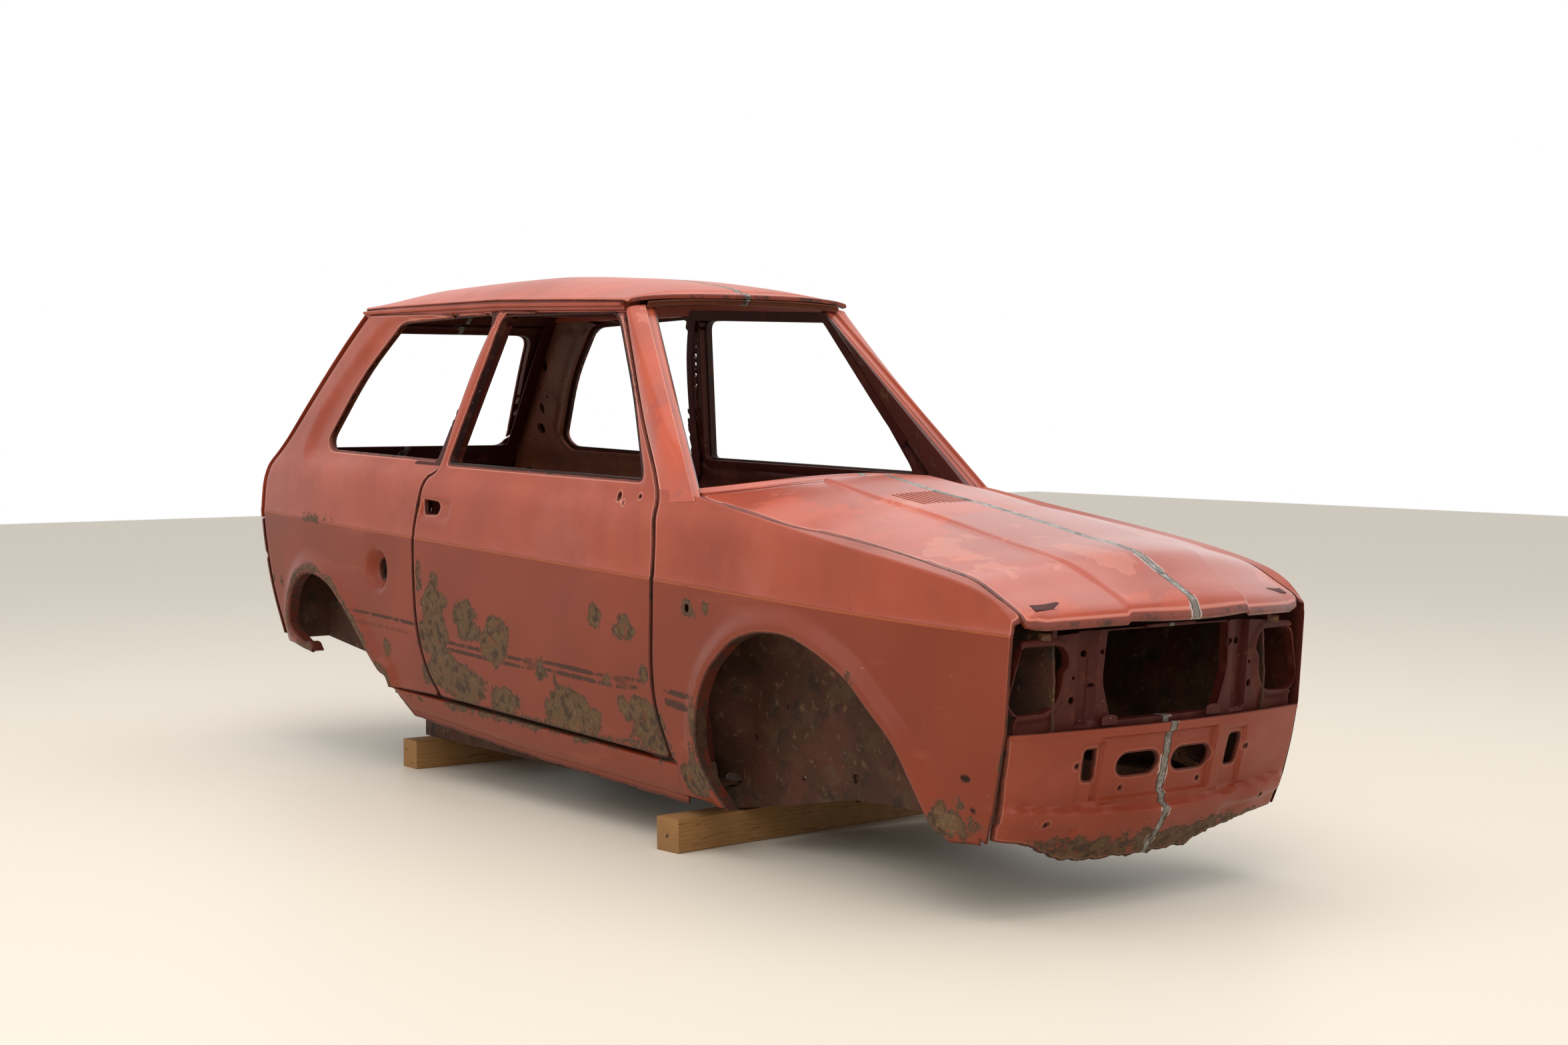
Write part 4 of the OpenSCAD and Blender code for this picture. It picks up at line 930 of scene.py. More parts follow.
def front_wings():
    """Front wings: wing_surface trimmed to the outline and the arch, with a flange in the arch."""
    front = [(nose_y(410, z) + (2 if z > 368 else 3.5), z) for z in (150, 222, 300, 367.9,
        368.1, 450, 540, 585, 900)]
    shut = [tuple(p) for p in door_front_line()[:21][::-1]]
    outline = front + [(DOOR_FRONT + 150, 900)] + [p for p in shut if p[1] < 830] + [
        (DOOR_FRONT - 68, 196), (DOOR_FRONT - 70, 112), (214, 110), (-500, 150)]

    def body(y, v):
        """Outside the wing's own outline"""
        return outline_distance(y, wing_height(y, v), outline)

    def arch(y, v):
        return -outline_distance(y, wing_height(y, v), FRONT_ARCH)

    def inner_edge(y, v):
        """Past the fold to the bonnet's edge"""
        return v - 230

    def pierced(y, v):
        z = wing_height(y, v)
        holes = [ellipse(335, 547, 9, 10), ellipse(-561, 279, 12, 6), ellipse(-575, 217, 6, 6),
            ellipse(-590, 160, 5, 5)]
        return deepest_hole(y, z, holes)

    us = spaced(-722, 500, 9, [(-722, -600, 6)])
    vs = spaced(-480, 234, 10, [(-14, 14, 5), (170, 196, 2.6)])
    points, faces, edge = pressed(us, vs, [(body, hem(2.0, WING_SHEET)),
        (arch, hem(2.5, WING_SHEET)), (inner_edge, hem(2.0, WING_SHEET)),
        (pierced, hem(0.6, WING_SHEET))], wing_surface)
    lip = arch_lip(FRONT_ARCH, wing_surface)
    both = join_solids((points, faces), lip)
    edge = np.concatenate([edge, np.full(len(lip[0]), 1.0)])
    add_pair("front_wing_skin", both, "faded_red_paint", "front_wing", side_marks, edge)


# --- Doors -----------------------------------------------------------------------------------

HANDLE = rounded([(1583, 751), (1412, 748), (1440, 692), (1597, 696)], [14, 14, 14, 14])
HANDLE_HOLE = rounded([(1572, 744), (1496, 741), (1484, 728), (1500, 708), (1566, 706)], 7)


def door_surface(y, v, depth):
    """Door point at v above the crease, with the sunk handle pocket."""
    z = crease_z(y) + v
    pocket = size("handle_pocket") * fall(outline_distance(y, z, HANDLE), -8, 2)
    frame = 3.5 * fall(np.abs(outline_distance(y, z, DOOR_WINDOW) - 5), 4, 9) * (z > belt_z(y))
    return xyz(side_x(y, z) - pocket - frame - depth, y, z)


def over_crease(field):
    """The same field read at v above the crease instead of at a height."""
    return lambda y, v: field(y, crease_z(y) + v)


def door_skins():
    """Door skins: door_surface trimmed to the shut lines, the window and the holes."""
    def holes(y, z):
        return deepest_hole(y, z, (HANDLE_HOLE, ellipse(642, 784, 7, 10), ellipse(557, 786, 5, 5),
            ellipse(618, 770, 4, 4)))

    us = spaced(410, 1622, 9, [(1400, 1605, 5)])
    vs = spaced(-410, 640, 9, [(-14, 14, 5), (60, 125, 5), (172, 186, 3.5)])
    points, faces, edge = pressed(us, vs, [(over_crease(within(DOOR)), hem(2.5, DOOR_SKIN)),
        (over_crease(hole(DOOR_WINDOW)), hem(2.5, DOOR_SKIN)),
        (over_crease(holes), hem(0.8, DOOR_SKIN))], door_surface)
    add_pair("door_outer_skin", (points, faces), "faded_red_paint", "door_skin", side_marks,
        edge, body="door")


# --- Quarter panels --------------------------------------------------------------------------


def quarter_surface(y, v, depth):
    """Quarter panel point: the window sits in a wide sunk surround, the arch is flared, and the
    rear corner rolls over towards the tail."""
    z = crease_z(y) + v
    rim = outline_distance(y, z, QUARTER_RECESS)
    sunk = size("window_recess") * np.clip(-rim / 32, 0, 1) + 2 * fall(rim, -44, -38)
    arch = outline_distance(y, z, REAR_ARCH)
    flare = size("rear_flare") * fall(arch, 10, 66) - 4 * fall(arch, -2, 10)
    tail = tail_y(HALF_W - 40, z) - 12 - y
    roll = np.where(z > 280, 11 * np.clip(1 - np.clip(tail, 0, 40) / 40, 0, 1) ** 2, 0)
    return xyz(side_x(y, z) - sunk + flare - roll - depth, y, z)


def filler_surface(y, v, depth):
    """Quarter panel point with a round dish for the filler: an eased step in the distance from
    it."""
    z = crease_z(y) + v
    r = np.hypot(y - FILLER_AT[0], z - FILLER_AT[1])
    dish = 27 * fall(r, 26, 64)
    points = quarter_surface(y, v, depth)
    points[..., 0] -= dish
    return points


def quarter_panels():
    """Quarter panels as trimmed pressings of quarter_surface with a return flange in the arch;
    the right one has the filler's dish and hole."""
    front = [tuple(p) for p in door_rear_line(SHUT)[::-1]]
    tail = [(float(tail_y(HALF_W - 40, z)) - 12, z) for z in np.linspace(GUTTER - 12, 320, 28)]
    foot = [(2480, 318), (2440, 300), (2388, 300), (1789, 230)]
    edges = [(over_crease(within(front + tail + foot)), hem(2.0, SKIN)),
        (over_crease(hole(QUARTER_WINDOW)), hem(3.0, SKIN)),
        (over_crease(hole(REAR_ARCH)), hem(2.0, SKIN))]
    filler = (over_crease(lambda y, z: FILLER_R - np.hypot(y - FILLER_AT[0], z - FILLER_AT[1])),
        hem(1.5, SKIN))
    us = spaced(1370, 2660, 10, [(1750, 1900, 6), (2560, 2660, 7)])
    vs = spaced(-440, 640, 10, [(-14, 14, 5)])
    lip = arch_lip(REAR_ARCH, quarter_surface)
    for name, side, more, surface in (("right", -1, [filler], filler_surface),
            ("left", 1, [], quarter_surface)):
        points, faces, edge = pressed(us, vs, edges + more, surface)
        add_piece(f"{name}_quarter_skin", join_solids((points, faces), lip), "faded_red_paint",
            [f"{name}_quarter_panel"], side_marks,
            np.concatenate([edge, np.full(len(lip[0]), 1.0)]), side=side)


# --- Bonnet ----------------------------------------------------------------------------------

RAISED = [(-764, 163), (-655, 170), (-570, 190), (-350, 185), (-150, 170), (170, 155), (400, 150)]
VENT = [(-138, 33), (-3, 29), (-7, -108), (-134, -81)]


def bonnet_surface(x, y, depth):
    """Bonnet point: the middle panel stands a step up, the sides roll down and the nose lip
    turns under."""
    raised = size("bonnet_step") * fall(np.abs(x) - table(RAISED, y), -4, 4) * ease(y,
        NOSE - 6, NOSE + 18)
    edge = bonnet_half(y) - np.abs(x)
    roll = 2.5 * np.clip(1 - np.clip(edge, 0, 12) / 12, 0, 1) ** 2
    z = bonnet_z(x, y) + raised - roll
    slope = (bonnet_z(x, y + 2) - bonnet_z(x, y - 2)) / 4
    norm = np.sqrt(1 + slope ** 2)
    return xyz(x, y + depth * slope / norm, z - depth / norm)


def bonnet_rear(x):
    """The bonnet's rear edge: a parabola across."""
    return SCUTTLE - SCUTTLE_BOW * (1 - (x / 412) ** 2)


def bonnet():
    """Bonnet skin: bonnet_surface trimmed to its sides, its bowed ends and the vent slots."""
    def sides(x, y):
        """Beyond half the width, 1 mm short"""
        return np.abs(x) - bonnet_half(y) + 1

    def rear(x, y):
        """Behind the bowed rear edge"""
        return y - bonnet_rear(x)

    def nose(x, y):
        """Ahead of a parabola across the nose"""
        return (NOSE + 79 * (x / 384) ** 2) - y

    def vents(x, y):
        """Ten lengthwise slots in a tapering patch, and the gap where the weld has not taken."""
        field = np.full(np.shape(x), -50.0)
        for k in range(10):
            c = -9 - 13.0 * k
            low, high = np.interp(c, [-138, -3], [-84, -106]), 30
            slot = np.maximum(np.abs(x - c) - 3.6, np.abs(y - (low + high) / 2) - (high - low) / 2)
            field = np.maximum(field, -slot)
        gap = np.maximum(np.abs(x - 1.0) - 1.6, np.abs(y + 52) - 52)
        slot = outline_distance(x, y, ellipse(205, 258, 20, 4))
        return np.max([field, -gap, -slot], axis=0)

    us = spaced(-416, 416, 9, [(-146, 6, 1.1), (-200, -148, 3), (148, 200, 3)])
    vs = spaced(-766, 366, 11, [(-766, -700, 3.5)])
    points, faces, edge = pressed(us, vs, [(sides, hem(2.5, SKIN)), (rear, hem(2.0, SKIN)),
        (nose, hem(3.0, SKIN)), (vents, hem(0.4, SKIN))], bonnet_surface)
    in_vent = (outline_distance(points[:, 0], points[:, 1], VENT) < 8) & (
        points[:, 2] < bonnet_surface(points[:, 0], points[:, 1], 0.0)[:, 2] - 1)
    beside = outline_distance(points[:, 0], points[:, 1], VENT) < 14
    # Along the bonnet's sides the edge distance is squeezed, so the edge bands widen there: the
    # dark band becomes painted shade for the shut line beside the wings.
    rim = (np.abs(points[:, 0]) > bonnet_half(points[:, 1]) - 12) & (edge > 0)
    edge = np.where(rim, edge * 0.35, edge)
    edge = np.where(in_vent, INSIDE, np.where(beside, np.maximum(edge, 12), edge))
    add_piece("bonnet_outer_skin", (points, faces), "glossy_red_paint", ["bonnet_skin"],
        top_marks, edge, body="bonnet")


def scuttle():
    """Strip between the bonnet and the windscreen, dropping into a rain gutter in the middle."""
    def surface(u, k, depth):
        """u runs across and k from front to rear; the gutter is one eased step down and one up"""
        x = u * (HALF_W - 70)
        y = SCUTTLE + 10 - SCUTTLE_BOW * (1 - u * u) + k * 40 - 18 * k * u * u
        z = bonnet_z(x, np.minimum(y, 420)) - 6 * ease(k, 0.2, 0.8) * fall(k, 1.2, 1.9) - 2
        return xyz(x, y, z - depth)

    us, ks = np.linspace(-1, 1, 120), np.linspace(0, 2, 20)
    top = surface(*np.meshgrid(us, ks, indexing="ij"), 0.0)
    low = surface(*np.meshgrid(us, ks, indexing="ij"), 9.0)
    rows = np.concatenate([top, low[:, ::-1]], 1)
    solid = skinned(rows)
    n = len(solid[0])
    add_piece("scuttle_skin", solid, "glossy_red_paint", ["scuttle_panel"], top_marks,
        np.full(n, 12.0))


# --- Roof and pillars ------------------------------------------------------------------------


def roof_surface(s, y, depth):
    """Roof point s along the cross section: flat across to 318 mm, then round a 12 mm quarter
    down over the drip rail. A shallow step runs behind the windscreen lip."""
    x = np.clip(np.abs(s), 0, 318)
    turn = np.clip((np.abs(s) - 318) / 11, 0, 1.45)
    z = roof_z(x, y) - 11 * (1 - np.cos(turn)) - 3.5 * np.exp(-((y - ROOF_FRONT - 34) / 9) ** 2)
    x = x + 11 * np.sin(turn)
    return xyz(np.sign(s) * (x - depth * np.sin(turn)), y, z - depth * np.cos(turn))


def roof():
    """Roof skin, trimmed to bowed ends, and a drip rail carried along each gutter."""
    us = spaced(-333, 333, 11, [(-334, -312, 3), (312, 334, 3)])
    vs = spaced(ROOF_FRONT, ROOF_REAR, 14, [(ROOF_FRONT, 800, 4)])
    points, faces, edge = pressed(us, vs, [(lambda s, y: np.abs(s) - 333, hem(1.5, SKIN)),
        (lambda s, y: ROOF_FRONT + 26 * (s / 333) ** 4 - y, hem(3.0, SKIN)),
        (lambda s, y: y - ROOF_REAR + 10 * (s / 333) ** 4, hem(3.0, SKIN))], roof_surface)
    add_piece("roof_skin", (points, faces), "roof_red_paint", ["roof_panel"], top_marks, edge)
    ring = np.array([(-6, 5), (-6, -5), (4, -6), (9, -4), (10, 2), (8, 3.5), (6, -1), (3, -2.5),
        (0, 5)], float)
    y = np.linspace(ROOF_FRONT + 62, ROOF_REAR - 6, 90)
    z = gutter_z(y) - 6
    path = xyz(side_x(y, z) + 0.5, y, z)
    inner = np.array([(-2, 12), (-2, -13), (-8, -16), (-8, -19), (-46, -17), (-48, 12)], float)
    solid = join_solids(skinned(tube_sections(path, ring)), skinned(tube_sections(path, inner)))
    add_pair("drip_rail", solid, "faded_red_paint", "roof_rail", top_marks, 7.0)


def front_pillars():
    """Windscreen pillars: sections from the scuttle to the roof. Each runs from the door's shut
    line in a bulging curve to the windscreen edge, steps in for the glass, and closes inside."""
    t = np.linspace(-0.075, 1, 64)[:, None]
    line = door_front_line()
    height = 806 + (GUTTER - 36 - 806) * t
    rear = np.interp(height, line[:, 1], line[:, 0])
    a = np.concatenate([side_x(rear, height) - 0.5, rear, height], 1)
    b = np.array([(425, 366, 814)]) * (1 - t) + np.array([(286, 762, 1232)]) * t
    bulge = np.concatenate([11 + 6 * t, -5 + 0 * t, 2 + 0 * t], 1) * ease(t, -0.06, 0.3)
    inward = np.array([(-1, 0.05, 0)])
    ring = [a * (1 - k) + b * k + bulge * (1 - (2 * k - 1) ** 2) for k in np.linspace(0, 1, 9)]
    ring += [b + inward * 2 + (0, 7, -2), b + inward * 22 + (0, 6, -2), b + inward * 23
        + (0, 10, 0), (b * 0.8 + a * 0.2) + inward * 40, (a * 0.62 + b * 0.38) + inward * 47,
        a + inward * 45, a + inward * 10]
    rows = np.stack(ring, 1)
    solid = skinned(rows)
    edge = np.full(len(solid[0]), 12.0)
    # Edge distances round the section: the rows at 3 and 4 mm, on both outer edges, take the pale
    # painted highlight, and the last four rows are inside.
    edge[:rows.shape[0] * rows.shape[1]] = np.tile(np.array([3, 8] + [14] * 5 + [10, 4, 2, 2.5, 4]
        + [INSIDE] * 4, float), len(rows))
    add_pair("windscreen_pillar", solid, "glossy_red_paint", "front_pillar", top_marks, edge)
    z = np.linspace(196, 790, 60)
    back = np.minimum(np.interp(z, line[:, 1], line[:, 0]) - 12, DOOR_FRONT - 10)
    out = side_x(400, z) - 11
    corners = [(0, 350 + 0 * z), (0, back - 8), (-3, back - 1), (-10, back), (-42, back),
        (-46, back - 4), (-56, back - 22), (-60, 352 + 0 * z), (-56, 347 + 0 * z)]
    ribs = 2.5 * np.exp(-((np.mod(z, 118) - 59) / 12) ** 2)
    rows = np.stack([xyz(out + dx + (ribs if dx < -40 else 0), y, z) for dx, y in corners], 1)
    post = skinned(rows)
    add_pair("hinge_pillar", post, "maroon_inner_paint")


# --- Nose ------------------------------------------------------------------------------------

LAMP_EYE = rounded([(374, 537), (279, 538), (264, 518), (261, 495), (274, 485), (276, 457),
    (284, 429), (306, 408), (380, 404), (404, 430)], [14, 12, 10, 8, 8, 14, 14, 14, 24, 30])
GRILLE = rounded([(-148, 382), (148, 382), (174, 462), (168, 560), (-168, 560), (-174, 462)],
    [8, 8, 16, 4, 4, 16])


def lamp_surface(x, z, depth):
    """Recessed lamp panel: lamp surrounds stand forward of the post channels."""
    ax = np.abs(x)
    post = 14 * ease(ax, 192, 198) * fall(ax, 232, 238) * ease(z, 374, 384)
    ridge = 3 * fall(np.abs(ax - 211), 6, 10) * ease(z, 400, 412) * fall(z, 500, 512)
    eye = 5 * fall(np.abs(outline_distance(ax, z, LAMP_EYE) - 3), 5, 13)
    cheek = 10 * ease(ax, 366, 386)
    return xyz(x, nose_y(x, z) + 24 + post - ridge - eye - cheek + depth, z)


def lower_surface(x, z, depth):
    """Lower front panel: a sunk middle plate, bracket channels, and the bumper step below."""
    ax = np.abs(x)
    plate = 10 * fall(np.maximum(np.abs(x + 27) - 158, np.abs(z - 290) - 62), -2, 3)
    channel = 7 * ease(ax, 166, 170) * fall(ax, 226, 231) * ease(z, 214, 222) * fall(z, 338, 346)
    fold = 198 + 0.00016 * x * x
    step = 20 * fall(z, fold - 2, fold + 12) * ease(z, 40, fold) * fall(ax, 366, 398)
    facet = 8 * fall(z, fold - 34, fold - 22) * ease(np.abs(x + 25), 196, 206)
    dents = 3.2 * waves(x, z, 230, 4) * fall(z, 190, 260) + 1.2 * waves(x, z, 120, 14)
    return xyz(x, nose_y(x, z) + plate + channel - step + facet - dents + depth, z)


def nose_panels():
    """Lamp panel with its flanges and tabs, the ledge under it and the lower front panel."""
    def lamps(x, z):
        return -outline_distance(np.abs(x), z, LAMP_EYE)

    def holes(x, z):
        ax = np.abs(x)
        return deepest_hole(ax, z, (ellipse(248, 428, 7, 8), ellipse(246, 472, 4, 5),
            ellipse(391, 400, 6, 5), ellipse(213, 517, 8, 7), ellipse(180, 520, 5, 5),
            ellipse(196, 455, 4, 4)))

    us = spaced(-388, 388, 6)
    vs = spaced(368, 570, 5)
    points, faces, edge = pressed(us, vs,
        [(lambda x, z: np.max([np.abs(x) - 386 + 0.05 * (z - 368), 368.4 - z, z - 568
        + 20 * (x / 386) ** 2], axis=0), hem(1.0, 5)), (lamps, hem(2.5, 5)),
        (hole(GRILLE), hem(2.5, 5)), (holes, hem(0.6, 5))], lamp_surface)
    add_piece("lamp_panel_pressing", (points, faces), "maroon_inner_paint", ["lamp_panel"],
        edge=edge)
    eyes = []
    for ring in ((LAMP_EYE * [-1, 1])[::-1], LAMP_EYE):
        eyes.append(flange(ring, lamp_surface, 2, 22, 3.0))
    eyes.append(flange(GRILLE, lamp_surface, 2, 24, 3.0))
    for x in (-162, 125):
        tab = rounded([(x - 22, 376), (x + 22, 376), (x + 20, 392), (x + 8, 396), (x - 8, 396),
            (x - 20, 392)], 4)
        fan = np.stack([xyz(tab[:, 0], np.full(len(tab), float(nose_y(x, 385)) + 11 + d),
            tab[:, 1]) for d in (0, 3.5)], 0)
        eyes.append(skinned(fan))
    solid = join_solids(*eyes)
    add_piece("lamp_panel_flanges", solid, "maroon_inner_paint", edge=3.0)

    outline = rounded([(-404, 372), (404, 372), (402, 300), (392, 160), (303, 150), (253, 140),
        (145, 116), (130, 100), (0, 97), (-98, 97), (-182, 99), (-237, 110), (-330, 150),
        (-392, 160), (-402, 300)], 5)
    slots = []
    for s in (-1, 1):
        slots += [rounded([(s * 178, 266), (s * 214, 268), (s * 218, 330), (s * 184, 330)], 8),
            ellipse(s * 103, 292, 25, 23), ellipse(s * 45, 292, 25, 23),
            ellipse(s * 108, 244, 3.5, 3.5), ellipse(s * 236, 300, 4, 4),
            ellipse(s * 300, 190, 4, 4)]
        slots.append(np.array([(s * 103, 315), (s * 45, 315), (s * 45, 269), (s * 103, 269)]))

    def pierced(x, z):
        return deepest_hole(x, z, slots)

    us = spaced(-406, 406, 6)
    vs = spaced(94, 374, 5)

    def ragged(x, z):
        """The outline, with waves added low down where the metal is torn"""
        tear = np.where(z < 150, 3.5 * waves(x, z, 46, 6) + 1.5 * waves(x, z, 14, 7), 0)
        return outline_distance(x, z, outline) + tear

    points, faces, edge = pressed(us, vs, [(ragged, hem(1.5, 8)), (pierced, hem(2.0, 8))],
        lower_surface)
    add_piece("lower_front_skin", (points, faces), "faded_red_paint", ["lower_front_panel"],
        low_marks, edge)
    x = np.linspace(-402, 402, 90)
    ring = []
    for d, z in ((0, 371), (0, 366), (3, 361), (40, 360), (40, 366), (6, 368)):
        ring.append(xyz(x, nose_y(x, np.full_like(x, 368)) + d - 1.5, np.full_like(x, z)))
    solid = skinned(np.stack(ring, 1))
    add_piece("lamp_panel_ledge", solid, "faded_red_paint", marks=low_marks, edge=9.0)


# --- Sills, inner wings and floor ------------------------------------------------------------


def sills():
    """Sill lofted along the car: its outer face follows the body side, and a rusty seam flange
    hangs from its lower edge."""
    y = np.linspace(DOOR_FRONT - 69, WHEELBASE - 361, 110)
    top = 189 + 40 * (y - y[0]) / (y[-1] - y[0])
    low = np.interp(y, [401, 1095, 1700, 1789], [112, 134, 171, 236])
    low = np.minimum(low, top - 3)
    depth = top - low
    ring = []
    for k, inset in ((1.0, 9), (0.97, 2.5), (0.93, 0), (0.8, 0), (0.5, 0.8), (0.25, 2.5),
            (0.1, 6), (0.0, 13)):
        z = low + depth * k
        ring.append(xyz(side_x(y, z) - inset, y, z))
    z = low
    ring += [xyz(side_x(y, z) - 14, y, z - 14 - 2 * waves(y, z, 60, 2)),
        xyz(side_x(y, z) - 17, y, z - 14 - 2 * waves(y, z, 60, 2)),
        xyz(side_x(y, z) - 18, y, z), xyz(np.full_like(y, 354), y, z + 4),
        xyz(np.full_like(y, 353), y, top - 1), xyz(side_x(y, top) - 30, y, top)]
    rows = np.stack(ring, 1)
    solid = skinned(rows)
    edge = np.full(len(solid[0]), 14.0)
    edge[:rows.shape[0] * rows.shape[1]] = np.tile(np.array([3, 4, 9] + [14] * 3
        + [7, 3, 1, 0, 1, 6, 9, 6], float), len(rows))
    add_pair("sill_panel", solid, "faded_red_paint", "sill", side_marks, edge)


def inner_wings():
    """Inner wing: a ribbed wall beside the rail, whose upper part curves out over the wheel and
    whose rear sweeps out to close the arch ahead of the door post; and the bulkhead between."""
    outline = [(-420, 163), (-598, 238), (-640, 300), (-668, 372), (-672, 452), (-668, 556),
        (-560, 590), (-100, 640), (452, 690), (452, 84), (401, 76), (264, 97), (100, 126),
        (-60, 157), (-204, 161)]

    def surface(y, z, depth):
        """A flat wall plus two ribs along lines, a domed strut top, and eased steps over the
        wheel and round to the door post"""
        rib = 4 * np.exp(-(line_distance(y, z, [(436, 193), (247, 220), (-85, 249), (-205, 300)])
            / 6) ** 2)
        rib = rib + 3 * np.exp(-(line_distance(y, z, [(239, 155), (-55, 193), (-190, 200)])
            / 5) ** 2)
        strut = 30 * fall(np.hypot(y * 0.8, (z - 640) * 0.55), 70, 150)
        over = 60 * ease(z, 380, 600) * ease(y, -560, -420)
        sweep = 100 * ease(y, 300, 470) * ease(z, 150, 330)
        lump = 3 * waves(y, z, 150, 12) + 1.4 * waves(y, z, 50, 13)
        return xyz(297 + rib + np.maximum(over, sweep) + strut + lump * ease(z, 90, 160)
            - depth, y, z)

    holes = [ellipse(392, 143, 36, 16), ellipse(-64, 203, 11, 11), ellipse(120, 180, 7, 7),
        ellipse(-150, 330, 9, 9), ellipse(180, 330, 6, 6), ellipse(300, 250, 8, 8)]
    points, faces, _ = pressed(spaced(-674, 454, 11), spaced(74, 692, 10),
        [(within(outline), hem(1.5, 6)), (lambda y, z: deepest_hole(y, z, holes), hem(1.5, 6))],
        surface)
    add_pair("inner_wing_pressing", (points, faces), "underseal", "inner_wing")

    def wall(x, z, depth):
        """A flat wall with upright swages every 140 mm and one level shelf"""
        swage = 5 * fall(np.abs(np.mod(x + 70, 140) - 70), 8, 16) * ease(z, 190,
            230) * fall(z, 560, 600)
        shelf = 6 * fall(np.abs(z - 620), 6, 14)
        return xyz(x, 340 - swage - shelf + depth, z)

    holes = [ellipse(150, 520, 30, 30), ellipse(-180, 560, 22, 14), ellipse(60, 640, 16, 16),
        ellipse(-60, 300, 20, 20), ellipse(220, 400, 12, 12)]
    points, faces, _ = pressed(spaced(-362, 362, 10), spaced(140, 758, 10),
        [(lambda x, z: np.maximum(np.abs(x) - np.where(z < 640, 296, 360), np.abs(z - 448.5) - 306),
        hem(2, 6)), (lambda x, z: deepest_hole(x, z, holes), hem(1.5, 6))], wall)
    us, t = np.linspace(-1, 1, 60), np.linspace(0, 1, 12)
    u, k = np.meshgrid(us, t, indexing="ij")
    rows = []
    for z, flip in ((755, False), (748, True)):
        y = 250 + 60 * (u * u - 1) * 0.3 + (345 - 250) * k
        layer = xyz(u * 362, y, z - 5 * fall(np.abs(k - 0.5), 0.2, 0.4))
        rows.append(layer[:, ::-1] if flip else layer)
    shelf = skinned(np.concatenate(rows, 1))
    top = []
    for z, flip in ((None, False), (752, True)):
        x = u * (HALF_W - 112)
        y = SCUTTLE + 10 - SCUTTLE_BOW * (1 - u * u) + 40 + 40 * k - 18 * (1 + k) * u * u
        lid = bonnet_z(x, np.minimum(y, 420)) - 12
        layer = xyz(x, y, lid if z is None else np.full_like(x, z))
        top.append(layer[:, ::-1] if flip else layer)
    block = skinned(np.concatenate(top, 1))
    add_piece("bulkhead_pressing", join_solids((points, faces), shelf, block),
        "stained_inner_paint", ["bulkhead"])


def timbers():
    """Two sawn beams: rounded square sections, slightly bowed, with sawn ends."""
    def beam(length, middle, turn, seed):
        """A rounded square carried along the beam, turned flat about its middle; the ring
        attribute is the distance from the pith"""
        t = np.linspace(-length / 2, length / 2, 60)
        h = (TIMBER - 1) / 2
        ring = rounded([(-h, -h), (h, -h), (h, h), (-h, h)], 3, 4)
        rows = xyz(np.broadcast_to(t[:, None], (len(t), len(ring))),
            np.broadcast_to(ring[:, 0], (len(t), len(ring))),
            np.broadcast_to(ring[:, 1], (len(t), len(ring)))).copy()
        rows[..., 1] += 0.5 * waves(rows[..., 0], rows[..., 2], 180, seed)
        fan = [rows[0] * [1, s, s] + [-0.6, 0, 0] for s in (0.05, 0.5, 0.93)]
        end = [rows[-1] * [1, s, s] + [0.6, 0, 0] for s in (0.93, 0.5, 0.05)]
        rows = np.concatenate([np.array(fan), rows, np.array(end)])
        flat = rows.reshape(-1, 3)
        ringmark = np.hypot(flat[:, 1] + 26, flat[:, 2] + 34) * 0.9
        c, s = math.cos(turn), math.sin(turn)
        x, y, z = rows[..., 0], rows[..., 1], rows[..., 2]
        rows = xyz(middle[0] + x * c - y * s, middle[1] + x * s + y * c, z + TIMBER / 2)
        points, faces = skinned(rows)
        return (points, faces), np.concatenate([ringmark, [35, 35]])

    for name, (length, middle, turn, seed) in {"front": (968.0, (0, 424), math.radians(5.4), 1),
            "rear": (850.0, (53, 1808), 0.0, 2)}.items():
        solid, ring = beam(length, middle, turn, seed)
        add_piece(f"{name}_timber_beam", solid, "oak_timber", [f"{name}_timber"], lambda points,
            ring=ring: {"ring": ring})


# --- Inner door panels, posts and window channels --------------------------------------------


def inner_panel(y, v, depth, base, thick, field):
    """Point of an inner pressing: its outer face is base inside the body side, and its inner face
    thick further in, with stampings sunk where field is up."""
    z = crease_z(y) + v
    return xyz(side_x(y, z) - base - depth * (1 - 0.3 * field(y, z)) * thick / 10, y, z)


